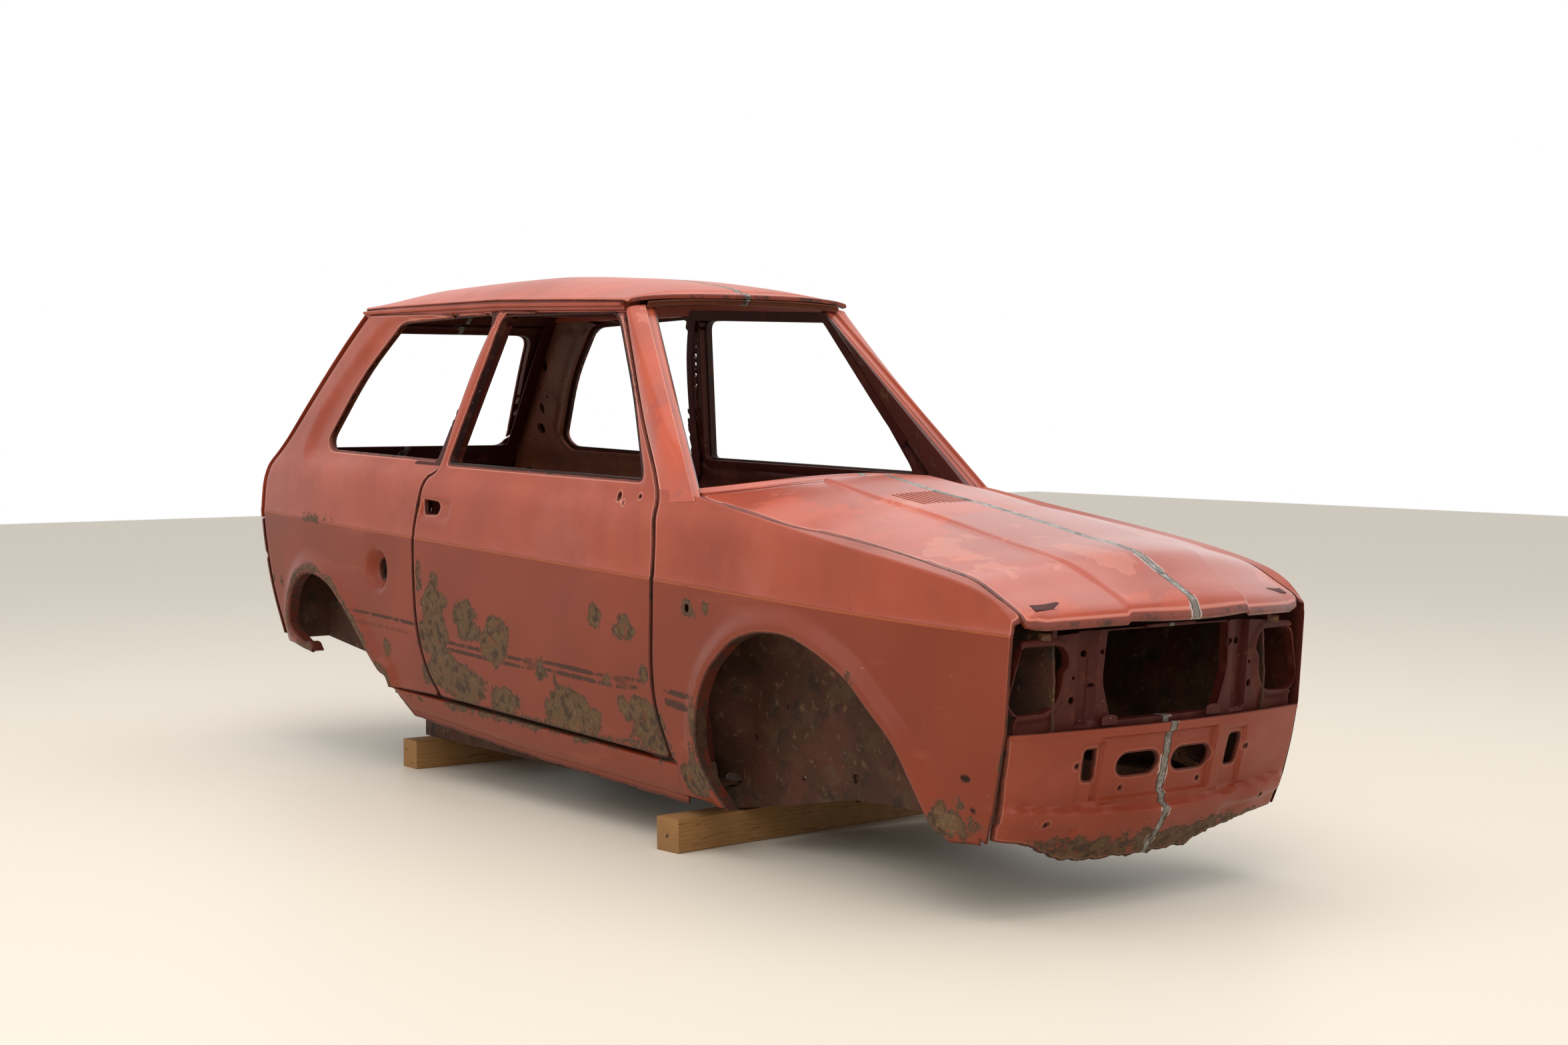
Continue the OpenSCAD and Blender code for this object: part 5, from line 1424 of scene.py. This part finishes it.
def door_frames():
    """Inner door frames, the glass channels in the doors and the seats of the quarter glass."""
    front, rear = door_front_line(SHUT + 14), door_rear_line(-14)
    front[:, 0] -= 9 * ease(front[:, 1], 800, 900)
    outline = np.vstack([[(front[0][0] + 26, front[0][1] + 10)], front[3:], rear[:-1],
        [(rear[-1][0], rear[-1][1] + 10)]])
    outline[:, 1] = np.minimum(outline[:, 1], GUTTER - 30)
    access = [rounded([(610, 352), (612, 600), (990, 640), (1010, 390)], 40),
        rounded([(1050, 396), (1035, 645), (1400, 690), (1440, 410)], 40)]
    small = [ellipse(y, z, r, r) for y, z, r in ((700, 290, 16), (900, 280, 12), (1130, 300, 16),
        (1330, 320, 12), (700, 700, 9), (900, 722, 14), (1150, 730, 10), (560, 560, 10))]
    pockets = [np.array([(300, z - 8), (524, z - 8), (524, z + 54), (300, z + 54)])
        for z in (428, 648)]
    handle = ellipse(1530, 726, 52, 28)

    def holes(y, z):
        return np.max([-outline_distance(y, z, h) for h in access + small + pockets + [handle]],
            axis=0)

    def stamped(y, z):
        """Up along an outline beside each edge: one less an eased step in the distance from it"""
        d = np.min([np.abs(outline_distance(y, z, a) - 22) for a in access], axis=0)
        foot = fall(np.abs(z - 250), 14, 26) * fall(np.abs(y - 1000), 330, 360)
        glass = fall(np.abs(outline_distance(y, z, DOOR_WINDOW) - 24), 5, 11)
        return fall(d, 4, 10) + foot + 0.6 * glass

    us, vs = spaced(470, 1604, 10), spaced(-400, 640, 10, [(60, 130, 5)])
    solid = pressed(us, vs, [(over_crease(within(outline)), hem(2, INNER)),
        (over_crease(hole(DOOR_WINDOW)), hem(2, INNER)), (over_crease(holes), hem(1, INNER))],
        lambda y, v, d: inner_panel(y, v, d, 10.4, 32, stamped))
    add_pair("door_inner_frame", solid[:2], "maroon_inner_paint", "door_frame", body="door")
    channel = flange(DOOR_WINDOW, lambda y, z, d: door_surface(y, z - crease_z(y), d),
        4.0, 22.0, 5.0)
    add_pair("door_glass_channel", channel, "black_seal", body="door")
    channel = flange(QUARTER_WINDOW, lambda y, z, d: quarter_surface(y, z - crease_z(y), d),
        3.0, 11.0, 5.0)
    add_pair("quarter_glass_seat", channel, "black_seal")


def body_posts():
    """Centre posts with lightening holes, and the inner panels behind the quarter windows."""
    line = door_rear_line(SHUT + 4)
    outline = np.vstack([line[::-1], [(DOOR_REAR - 150, GUTTER - 13),
        (DOOR_REAR - 80, belt_z(DOOR_REAR) + 120), (DOOR_REAR + 60, belt_z(DOOR_REAR) - 2),
        (DOOR_REAR + 90, crease_z(DOOR_REAR)), (DOOR_REAR + 60, 234)]])
    holes = [ellipse(1558, 730, 15, 26), ellipse(1640, 620, 18, 18), ellipse(1655, 520, 14, 24),
        ellipse(1640, 400, 20, 20), ellipse(1500, 930, 8, 20), ellipse(1462, 1050, 7, 18),
        ellipse(1600, 300, 9, 9)]

    def pierced(y, z):
        return np.max([-outline_distance(y, z, h) for h in holes]
            + [6 - outline_distance(y, z, QUARTER_WINDOW)], axis=0)

    def stamped(y, z):
        """Up along an outline beside each edge: one less an eased step in the distance from it"""
        return fall(np.abs(outline_distance(y, z, outline) + 24), 4, 9)

    solid = pressed(spaced(1370, 1710, 8), spaced(-410, 600, 9),
        [(over_crease(within(outline)), hem(1.5, INNER)), (over_crease(pierced), hem(2, INNER))],
        lambda y, v, d: inner_panel(y, v, d, 10.4, 38, stamped))
    add_pair("centre_post", solid[:2], "maroon_inner_paint", "centre_pillar")

    def stop_surface(y, v, depth):
        """A thin wall 47.5 mm inside the body side"""
        return inner_panel(y, v, depth, 47.5, 4, lambda a, b: 0 * a)

    def stop_outer(y, z):
        # Outside the door's outline by 12 mm, and left out at the front, where the door swings
        # inwards ahead of its hinge
        return np.maximum(outline_distance(y, z, DOOR) - 12, np.minimum(572 - y, 900 - z))

    def stop_inner(y, z):
        """Open in the middle: 14 mm inside the door's outline, 26 mm low down"""
        return -14 - 12 * fall(z, 780, 830) - outline_distance(y, z, DOOR)

    stop = pressed(spaced(380, 1640, 9), spaced(-420, 640, 9),
        [(over_crease(stop_outer), hem(1.5, INNER)), (over_crease(stop_inner), hem(1.5, INNER))],
        stop_surface)[:2]
    add_pair("door_stop_flange", stop, "maroon_inner_paint")

    outline = rounded([(1720, 600), (2560, 630), (2590, 720), (2500, 860), (2330, 1040),
        (2170, 1200), (2120, 1232), (1450, 1236), (1470, 1180), (1560, 1000), (1600, 800),
        (1640, 760)], 20)
    window = rounded([(1590, 838), (2206, 852), (2246, 892), (2112, 1078), (1940, 1222),
        (1440, 1240)], [16, 30, 22, 90, 40, 34])
    back = [rounded([(2206, 1110), (2236, 1112), (2262, 1180), (2240, 1216), (2214, 1200)], 14)
        + [20, -20], ellipse(2305, 978, 12, 17), ellipse(2335, 916, 21, 16),
        ellipse(2262, 1012, 6, 6), ellipse(2290, 1040, 5, 5), ellipse(2380, 880, 6, 6),
        ellipse(2250, 900, 5, 5), ellipse(2460, 780, 24, 14), ellipse(2330, 700, 16, 16),
        ellipse(2100, 700, 30, 14), ellipse(1850, 690, 26, 14)]

    def cut(y, z):
        return deepest_hole(y, z, back)

    def pressing(y, z):
        """Up along the window and along the outer edge"""
        near = fall(np.abs(outline_distance(y, z, window) - 20), 5, 12)
        return near + 0.8 * fall(np.abs(outline_distance(y, z, outline) + 20), 5, 12)

    solid = pressed(spaced(1436, 2594, 11, [(2200, 2350, 6)]), spaced(-90, 640, 10),
        [(over_crease(within(outline)), hem(1.5, INNER)), (over_crease(hole(window)),
        hem(2, INNER)), (over_crease(cut), hem(1.5, INNER))], lambda y, v,
        d: inner_panel(y, v, d, 30, 14, pressing))
    add_pair("inner_quarter", solid[:2], "stained_inner_paint")


# --- Tail ------------------------------------------------------------------------------------

TAIL_TOP = 1240.0
TAIL_SPLIT = 655.0
TAIL_HALF = [(TAIL_SPLIT + 10, 400), (TAIL_TOP, 286)]
REAR_GLASS = rounded([(-348, 862), (348, 862), (241, 1195), (-241, 1195)], 38, 8)


def tail_surface(x, z, depth):
    """Point of the tail: a gentle bow across, a sunk number plate bay, and a ridge round the
    rear glass."""
    bay = 9 * fall(np.maximum(np.abs(x) - 170, np.abs(z - 765) - 42), -6, 6)
    ring = 3 * fall(np.abs(outline_distance(x, z, REAR_GLASS) - 16), 6, 12)
    return xyz(x, tail_y(x, z) - bay + ring - depth, z)


def barrel(x0, x1, y, z, r, n=28):
    """A round bar along x with eased ends."""
    t = np.linspace(0, 2 * np.pi, n, endpoint=False)
    rows = [xyz(np.full(n, x), y + r * k * np.cos(t), z + r * k * np.sin(t)) for x,
        k in ((x0, 0.4), (x0, 0.9), (x0 + 1, 1), (x1 - 1, 1), (x1, 0.9), (x1, 0.4))]
    return skinned(rows)


def tail():
    """Tailgate skin with its hinge ears, inner frame, rear panel, tail returns and rebates."""
    def half(z):
        """Half the tailgate's width, straight between two heights"""
        return table(TAIL_HALF, z)

    def plan(x, z):
        """Outside the tailgate's width or height"""
        return np.maximum(np.abs(x) - half(z), np.abs(z - (TAIL_TOP + TAIL_SPLIT + 10) / 2)
            - (TAIL_TOP - TAIL_SPLIT - 10) / 2)

    def holes(x, z):
        return deepest_hole(np.abs(x), z, (ellipse(0, 700, 16, 9), ellipse(120, 822, 5, 5),
            ellipse(200, 822, 5, 5), ellipse(60, 740, 5, 5)))

    points, faces, edge = pressed(spaced(-402, 402, 10), spaced(TAIL_SPLIT + 8, TAIL_TOP + 2,
        9, [(780, 830, 5)]), [(plan, hem(2.5, TAIL_SKIN)), (hole(REAR_GLASS), hem(2.5, TAIL_SKIN)),
        (holes, hem(1, TAIL_SKIN))], tail_surface)
    ears = []
    for x in (-210.6, -159.4, 149.4, 200.6):
        ears.append(barrel(x, x + 10, WHEELBASE + 4, GUTTER - 2, 6))
        ring = rounded([(2149, 1228), (2159, 1226), (2159, 1254), (2149, 1254)], 2, 3)
        ears.append(skinned([xyz(np.full(len(ring), q), ring[:, 0], ring[:, 1])
            for q in (x + 0.5, x + 9.5)]))
    ears = join_solids(*ears)
    solid = join_solids((points, faces), ears)
    add_piece("tailgate_outer_skin", solid, "faded_red_paint", ["tailgate_skin"], tail_marks,
        np.concatenate([edge, np.full(len(ears[0]), 8.0)]), body="tailgate")

    def frame_surface(x, z, depth):
        """19 mm inside the skin, thinner along a ring round the glass"""
        stamp = 0.35 * fall(np.abs(outline_distance(x, z, REAR_GLASS) - 26), 6, 14)
        return xyz(x, tail_y(x, z) - 19 - depth * 2.2 * (1 - stamp), z)

    def frame_plan(x, z):
        """16 mm inside the tailgate's width, and its own height"""
        return np.maximum(np.abs(x) - half(z) + 16, np.abs(z - 945) - 272)

    access = [rounded([(-300, 716), (-20, 716), (-20, 806), (-300, 806)], 20),
        rounded([(20, 716), (300, 716), (300, 806), (20, 806)], 20)]
    points, faces, edge = pressed(spaced(-390, 390, 10), spaced(670, 1226, 9),
        [(frame_plan, hem(2, INNER)), (hole(REAR_GLASS), hem(2, INNER)),
        (lambda x, z: deepest_hole(x, z, access), hem(2, INNER))], frame_surface)
    add_piece("tailgate_inner_frame", (points, faces), "maroon_inner_paint", ["tailgate_frame"],
        body="tailgate")

    def corner(z):
        """How far out the body side is at the tail"""
        return side_x(tail_y(HALF_W - 40, z), z)

    lamps = rounded([(240, 560), (385, 560), (385, 630), (240, 630)], 10)
    low = [ellipse(190, 595, 7, 7), ellipse(214, 600, 5, 5), ellipse(60, 470, 6, 6),
        ellipse(300, 470, 8, 8), ellipse(340, 400, 9, 6)]

    def rear_surface(x, z, depth):
        """A level beam and two lamp boxes sunk by eased steps, and corners rolled by a square"""
        beam = 8 * fall(np.abs(z - 545), 4, 12) + 6 * fall(np.abs(np.abs(x) - 312) - 84,
            -5, 5) * fall(np.abs(z - 595) - 42, -5, 5)
        roll = 10 * np.clip(1 - (corner(z) - np.abs(x)) / 30, 0, 1) ** 2
        return xyz(x, tail_y(x, z) - beam - roll - depth, z)

    def rear_plan(x, z):
        """Outside the corners, the top, or a lower edge that is wavy with rust"""
        return np.maximum(np.abs(x) - corner(z), np.abs(z - 486) - 168 + 2 * waves(x, z, 60, 3)
            * (z < 340))

    points, faces, edge = pressed(spaced(-446, 446, 9), spaced(314, 656, 8),
        [(rear_plan, hem(2, TAIL_SKIN)), (lambda x, z: deepest_hole(np.abs(x), z, [lamps] + low),
        hem(1.5, TAIL_SKIN))], rear_surface)
    add_piece("rear_panel_skin", (points, faces), "faded_red_paint", ["rear_panel"], tail_marks,
        edge)

    zs = np.linspace(TAIL_SPLIT + 1, GUTTER - 12, 120)
    inner = np.interp(zs, [TAIL_SPLIT + 10, TAIL_TOP], [410, 296])
    outer = corner(zs)
    ring = []
    for k, d in ((0, 9.6), (0, 2), (0.06, 0), (0.3, 0), (0.6, 0), (0.85, 1.5), (0.97, 6),
            (1.0, 10), (0.9, 12), (0.5, 10.5), (0.2, 9.6)):
        x = inner + (outer - inner) * k
        ring.append(xyz(x, tail_y(x, zs) - d, zs))
    solid = skinned(np.stack(ring, 1))
    edge = np.full(len(solid[0]), 12.0)
    add_pair("tail_return", solid, "faded_red_paint", "rear_pillar", tail_marks, edge)
    rebate = skinned(np.stack([xyz(inner + dx, tail_y(inner, zs) - d, zs) for dx,
        d in ((-2, 10), (2, 10), (2, 54), (-42, 54), (-42, 50), (-2, 50))], 1))
    add_pair("tailgate_rebate", rebate, "maroon_inner_paint")
    x = np.linspace(-292, 292, 80)
    low, high = np.full_like(x, 1222.0), roof_z(x, ROOF_REAR - 60) - 14
    strip = skinned(np.stack([xyz(x, tail_y(x, z) - d, z) for d,
        z in ((50, low), (54, low), (54, high), (50, high))], 1))
    add_piece("tailgate_top_rebate", strip, "maroon_inner_paint")


def tail_marks(points):
    """Attributes of a tail point: rust low down and in round patches, falling off from their
    middles."""
    n = len(points)
    x, z = points[:, 0], points[:, 2]
    rust = 0.62 - np.clip(z - 318, 0, 200) / 90 + 0.15 * waves(x, z, 120, 5)
    for cx, cz, r in ((-180, 700, 30), (90, 690, 18), (240, 850, 22), (-330, 420, 40),
            (300, 380, 36), (-60, 360, 30)):
        rust = np.maximum(rust, 0.5 + (1 - np.hypot(x - cx, (z - cz) * 1.4) / r) * r / 60)
    return {"fade": np.clip(0.35 + 0.5 * ease(z, 600, 800), 0, 1), "crease": np.full(n, 99.0),
        "stripe": np.zeros(n), "rust": rust}


def headers():
    """Cross members under the roof, behind the windscreen and over the tailgate: channel
    pressings with oval holes."""
    for name, low, high in (("windscreen", ROOF_FRONT + 2, ROOF_FRONT + 78),
            ("rear", ROOF_REAR - 104, ROOF_REAR - 2)):
        middle = (low + high) / 2

        def surface(x, y, depth):
            """30 mm under the roof, with both long edges turned up"""
            lip = ease(np.abs(y - middle), (high - low) / 2 - 12, (high - low) / 2 - 4)
            return xyz(x, y, roof_z(x, y) - 30 + 14 * lip + depth)

        slots = [ellipse(s * x, middle, 24, 9) for s in (-1, 1) for x in (60, 150, 220)] + [
            ellipse(s * 105, middle + 4, 6, 6) for s in (-1, 1)]
        points, faces, _ = pressed(spaced(-300, 300, 8), spaced(low, high, 5),
            [(lambda x, y: np.maximum(np.abs(x) - 286, np.abs(y - middle) - (high - low) / 2),
            hem(1.5, 4)), (lambda x, y: deepest_hole(x, y, slots), hem(1, 4))], surface)
        add_piece(f"{name}_header_channel", (points, faces), "stained_inner_paint",
            [f"{name}_header"])


# --- Operators, settings and stage -----------------------------------------------------------


def tint(name, text, code):
    """A colour setting that starts from an sRGB hex value."""
    return bpy.props.FloatVectorProperty(name=name, description=text, default=linear(code),
        subtype="COLOR", size=4, min=0, max=1)


def length(name, text, default, low, high):
    """A size setting in metres, shown in the scene's own unit."""
    return bpy.props.FloatProperty(name=name, description=text, default=default, min=low,
        max=high, unit="LENGTH")


class ShellSizes(bpy.types.PropertyGroup):
    """Depths of the shapes pressed into the panels"""
    front_flare: length("Front flare", "How far the front arches stand out", 0.015, 0.0, 0.03)
    rear_flare: length("Rear flare", "How far the rear arches stand out", 0.012, 0.0, 0.025)
    window_recess: length("Window recess", "Depth of the quarter windows' surround", 0.014,
        0.0, 0.02)
    handle_pocket: length("Handle pocket", "Depth of the door handle pockets", 0.007, 0.0, 0.01)
    bonnet_step: length("Bonnet step", "How far the bonnet's middle is raised", 0.007, 0.0, 0.012)


class ShellFinishes(bpy.types.PropertyGroup):
    """Colours and sizes of the shell's finishes"""
    # The upper and lower reds differ by chalking and by painted light: the upper body painted lit,
    # the lower body painted in shade.
    enamel: tint("Chalked enamel", "Red of the upper body", "#a94a31")
    # The brighter red of upward-facing panels: partly their own enamel, partly painted light from
    # above.
    bonnet: tint("Bonnet enamel", "Red of upward-facing panels", "#bd4b28")
    enamel_low: tint("Lower enamel", "Red of the lower body", "#7a2c0d")
    maroon: tint("Inner enamel", "Maroon paint inside", "#43150e")
    stained: tint("Stained inner enamel", "Inside paint with rust stains", "#6b3b26")
    sealer: tint("Window sealer", "Black sealer round the glass openings", "#2a1917")
    # The underseal's brown is deepened as painted shade: it stands in for the shadow inside the
    # wheel arches.
    underseal: tint("Underseal", "Brown under the wings", "#3f220f")
    steel: tint("Rusted steel", "Brown of bare steel", "#553722")
    timber: tint("Timber", "Dry oak", "#966c3d")
    seam: length("Weld width", "Width of the ground weld along the middle", 0.016, 0.008, 0.04)


def lay_finishes():
    """Makes each finish from its settings, and puts them on the CAD nodes by material slot."""
    s = bpy.context.scene.shell_finishes
    seam = s.seam / MM
    # The bonnet, scuttle, pillars and roof take the bonnet's brighter red as their upper colour:
    # painted light from above, over the enamel's own red.
    FINISHES.update(faded_red_paint=aged_enamel("chalked_red_enamel", s.enamel, s.enamel_low,
        seam, 0.16), glossy_red_paint=aged_enamel("polished_red_enamel", s.bonnet, s.enamel_low,
        seam, 0.6, True), roof_red_paint=aged_enamel("sunlit_red_enamel", s.bonnet, s.enamel_low,
        seam, 0.2), maroon_inner_paint=inner_enamel("maroon_inner_enamel", s.maroon, seam),
        stained_inner_paint=inner_enamel("stained_inner_enamel", s.stained, seam),
        black_seal=inner_enamel("perished_black_sealer", s.sealer, seam),
        underseal=stone_chip_underseal("stone_chip_underseal", s.underseal, seam),
        rusty_steel=rusted_steel("rusted_mild_steel", s.steel, seam),
        oak_timber=sawn_timber("sawn_dry_oak", s.timber))
    for part in frame["record"]["subparts"]:
        materials = frame["nodes"][part["node"]].data.materials
        materials.clear()
        materials.append(FINISHES[part["material_slot"]])


def stage():
    """Plain floor, soft lamps, a white surround for the camera, and the camera itself."""
    scene = bpy.context.scene
    floor = bpy.data.meshes.new("studio_floor")
    reach = 14.0
    corners = [(-reach, -reach, 0), (reach, -reach, 0), (reach, reach, 0), (-reach, reach, 0)]
    floor.from_pydata(corners, [], [(0, 1, 2, 3)])
    obj = bpy.data.objects.new("studio_floor", floor)
    scene.collection.objects.link(obj)
    ground = bpy.data.materials.new("pale_floor")
    ground.use_nodes = True
    shader = ground.node_tree.nodes["Principled BSDF"]
    shader.inputs["Base Color"].default_value = linear("#e6dccb")
    shader.inputs["Roughness"].default_value = 0.5
    floor.materials.append(ground)
    world = bpy.data.worlds.new("studio")
    scene.world = world
    world.use_nodes = True
    tree = world.node_tree
    tree.nodes.clear()
    ray = add(tree, "LightPath")
    seen = add(tree, "Math", {0: ray["Is Camera Ray"], 1: ray["Is Transmission Ray"]},
        operation="MAXIMUM")[0]
    seen = add(tree, "Math", {0: seen, 1: ray["Is Glossy Ray"]}, operation="MAXIMUM")[0]
    on_object, as_seen = 0.62, 1.0
    strength = add(tree, "Mix", {0: seen, 2: on_object, 3: as_seen})[0]
    light = add(tree, "Background", {"Color": (1, 1, 1, 1), "Strength": strength})
    add(tree, "OutputWorld", {"Surface": light[0]})
    lamps = {"overhead": ((0.0, -0.5, 4.4), (0, 0, 0), 6.0, 150.0),
        "key": ((-3.2, -4.6, 3.4), (0, -0.2, 0.5), 3.0, 70.0),
        "side": ((-5.2, 1.2, 2.6), (0, 0.3, 0.6), 3.0, 45.0)}
    for name, (place, aim, size, power) in lamps.items():
        lamp = bpy.data.lights.new(name + "_softbox", "AREA")
        lamp.shape = "SQUARE"
        lamp.size = size
        lamp.energy = power
        holder = bpy.data.objects.new(name + "_softbox", lamp)
        holder.location = place
        way = Vector(aim) - Vector(place)
        holder.rotation_euler = way.to_track_quat("-Z", "Y").to_euler()
        scene.collection.objects.link(holder)
    lens = bpy.data.cameras.new("studio_camera")
    lens.sensor_width = 36.0
    lens.lens = 55.067
    dip, heading = 3.0075, -36.5573
    camera = bpy.data.objects.new("studio_camera", lens)
    camera.location = (-3.432, -4.98427, 1.0139)
    camera.rotation_euler = (math.radians(90 - dip), 0, math.radians(heading))
    scene.collection.objects.link(camera)
    scene.camera = camera
    scene.view_settings.view_transform = "Standard"


class SHELL_OT_finishes(bpy.types.Operator):
    """Lays out the enamels, underseal, rust and timber, and puts them on the CAD nodes"""
    bl_idname = "shell.finishes"
    bl_label = "Finishes"

    def execute(self, context):
        lay_finishes()
        return {"FINISHED"}


class SHELL_OT_wings(bpy.types.Operator):
    """Front wings with flared arches, shoulder and holes"""
    bl_idname = "shell.wings"
    bl_label = "Front Wings"

    def execute(self, context):
        front_wings()
        return {"FINISHED"}


class SHELL_OT_doors(bpy.types.Operator):
    """Door skins with window openings and handle pockets"""
    bl_idname = "shell.doors"
    bl_label = "Door Skins"

    def execute(self, context):
        door_skins()
        return {"FINISHED"}


class SHELL_OT_quarters(bpy.types.Operator):
    """Quarter panels with sunk window surrounds and rear arches"""
    bl_idname = "shell.quarters"
    bl_label = "Quarter Panels"

    def execute(self, context):
        quarter_panels()
        return {"FINISHED"}


class SHELL_OT_bonnet(bpy.types.Operator):
    """Bonnet skin with its raised middle and vent slots"""
    bl_idname = "shell.bonnet"
    bl_label = "Bonnet"

    def execute(self, context):
        bonnet()
        return {"FINISHED"}


class SHELL_OT_scuttle(bpy.types.Operator):
    """Scuttle strip under the windscreen"""
    bl_idname = "shell.scuttle"
    bl_label = "Scuttle"

    def execute(self, context):
        scuttle()
        return {"FINISHED"}


class SHELL_OT_roof(bpy.types.Operator):
    """Roof skin and drip rails"""
    bl_idname = "shell.roof"
    bl_label = "Roof"

    def execute(self, context):
        roof()
        return {"FINISHED"}


class SHELL_OT_pillars(bpy.types.Operator):
    """Windscreen pillars from the scuttle to the roof"""
    bl_idname = "shell.pillars"
    bl_label = "Windscreen Pillars"

    def execute(self, context):
        front_pillars()
        return {"FINISHED"}


class SHELL_OT_nose(bpy.types.Operator):
    """Lamp panel, its flanges, the ledge and the lower front panel"""
    bl_idname = "shell.nose"
    bl_label = "Nose"

    def execute(self, context):
        nose_panels()
        return {"FINISHED"}


class SHELL_OT_sills(bpy.types.Operator):
    """Sills with their lower flange"""
    bl_idname = "shell.sills"
    bl_label = "Sills"

    def execute(self, context):
        sills()
        return {"FINISHED"}


class SHELL_OT_inner_wings(bpy.types.Operator):
    """Ribbed inner wings beside the engine bay"""
    bl_idname = "shell.inner_wings"
    bl_label = "Inner Wings"

    def execute(self, context):
        inner_wings()
        return {"FINISHED"}


class SHELL_OT_timbers(bpy.types.Operator):
    """Two sawn beams that carry the shell"""
    bl_idname = "shell.timbers"
    bl_label = "Timbers"

    def execute(self, context):
        timbers()
        return {"FINISHED"}


class SHELL_OT_door_frames(bpy.types.Operator):
    """Inner door frames with access holes, and the channels round the glass openings"""
    bl_idname = "shell.door_frames"
    bl_label = "Door Frames"

    def execute(self, context):
        door_frames()
        return {"FINISHED"}


class SHELL_OT_posts(bpy.types.Operator):
    """Centre posts and the inner quarter panels"""
    bl_idname = "shell.posts"
    bl_label = "Posts"

    def execute(self, context):
        body_posts()
        return {"FINISHED"}


class SHELL_OT_tail(bpy.types.Operator):
    """Tailgate, rear panel and the returns beside them"""
    bl_idname = "shell.tail"
    bl_label = "Tail"

    def execute(self, context):
        tail()
        return {"FINISHED"}


class SHELL_OT_headers(bpy.types.Operator):
    """Cross members under the roof"""
    bl_idname = "shell.headers"
    bl_label = "Headers"

    def execute(self, context):
        headers()
        return {"FINISHED"}


class SHELL_OT_stage(bpy.types.Operator):
    """Floor, lamps, surround and camera"""
    bl_idname = "shell.stage"
    bl_label = "Stage"

    def execute(self, context):
        stage()
        return {"FINISHED"}


OPERATORS = (SHELL_OT_finishes, SHELL_OT_wings, SHELL_OT_doors, SHELL_OT_quarters, SHELL_OT_bonnet,
    SHELL_OT_scuttle, SHELL_OT_roof, SHELL_OT_pillars, SHELL_OT_nose, SHELL_OT_sills,
    SHELL_OT_inner_wings, SHELL_OT_timbers, SHELL_OT_door_frames, SHELL_OT_posts, SHELL_OT_tail,
    SHELL_OT_headers, SHELL_OT_stage)


class SHELL_PT_panel(bpy.types.Panel):
    """Lists the sizes, the finishes and each piece that can be built"""
    bl_idname = "SHELL_PT_panel"
    bl_label = "Narrowed Hatchback Shell"
    bl_space_type = "VIEW_3D"
    bl_region_type = "UI"
    bl_category = "Shell"

    def draw(self, context):
        for settings in (context.scene.shell_sizes, context.scene.shell_finishes):
            for key in type(settings).__annotations__:
                self.layout.prop(settings, key)
        for kind in OPERATORS:
            self.layout.operator(kind.bl_idname)


CLASSES = (ShellSizes, ShellFinishes, *OPERATORS, SHELL_PT_panel)


def register():
    """Registers the classes and puts the settings on the scene."""
    for kind in CLASSES:
        bpy.utils.register_class(kind)
    bpy.types.Scene.shell_sizes = bpy.props.PointerProperty(type=ShellSizes)
    bpy.types.Scene.shell_finishes = bpy.props.PointerProperty(type=ShellFinishes)


def unregister():
    """Takes the settings and the classes away again."""
    del bpy.types.Scene.shell_finishes, bpy.types.Scene.shell_sizes
    for kind in reversed(CLASSES):
        bpy.utils.unregister_class(kind)


def main():
    register()
    for kind in OPERATORS:
        group, name = kind.bl_idname.split(".")
        getattr(getattr(bpy.ops, group), name)()


if __name__ == "__main__":
    main()
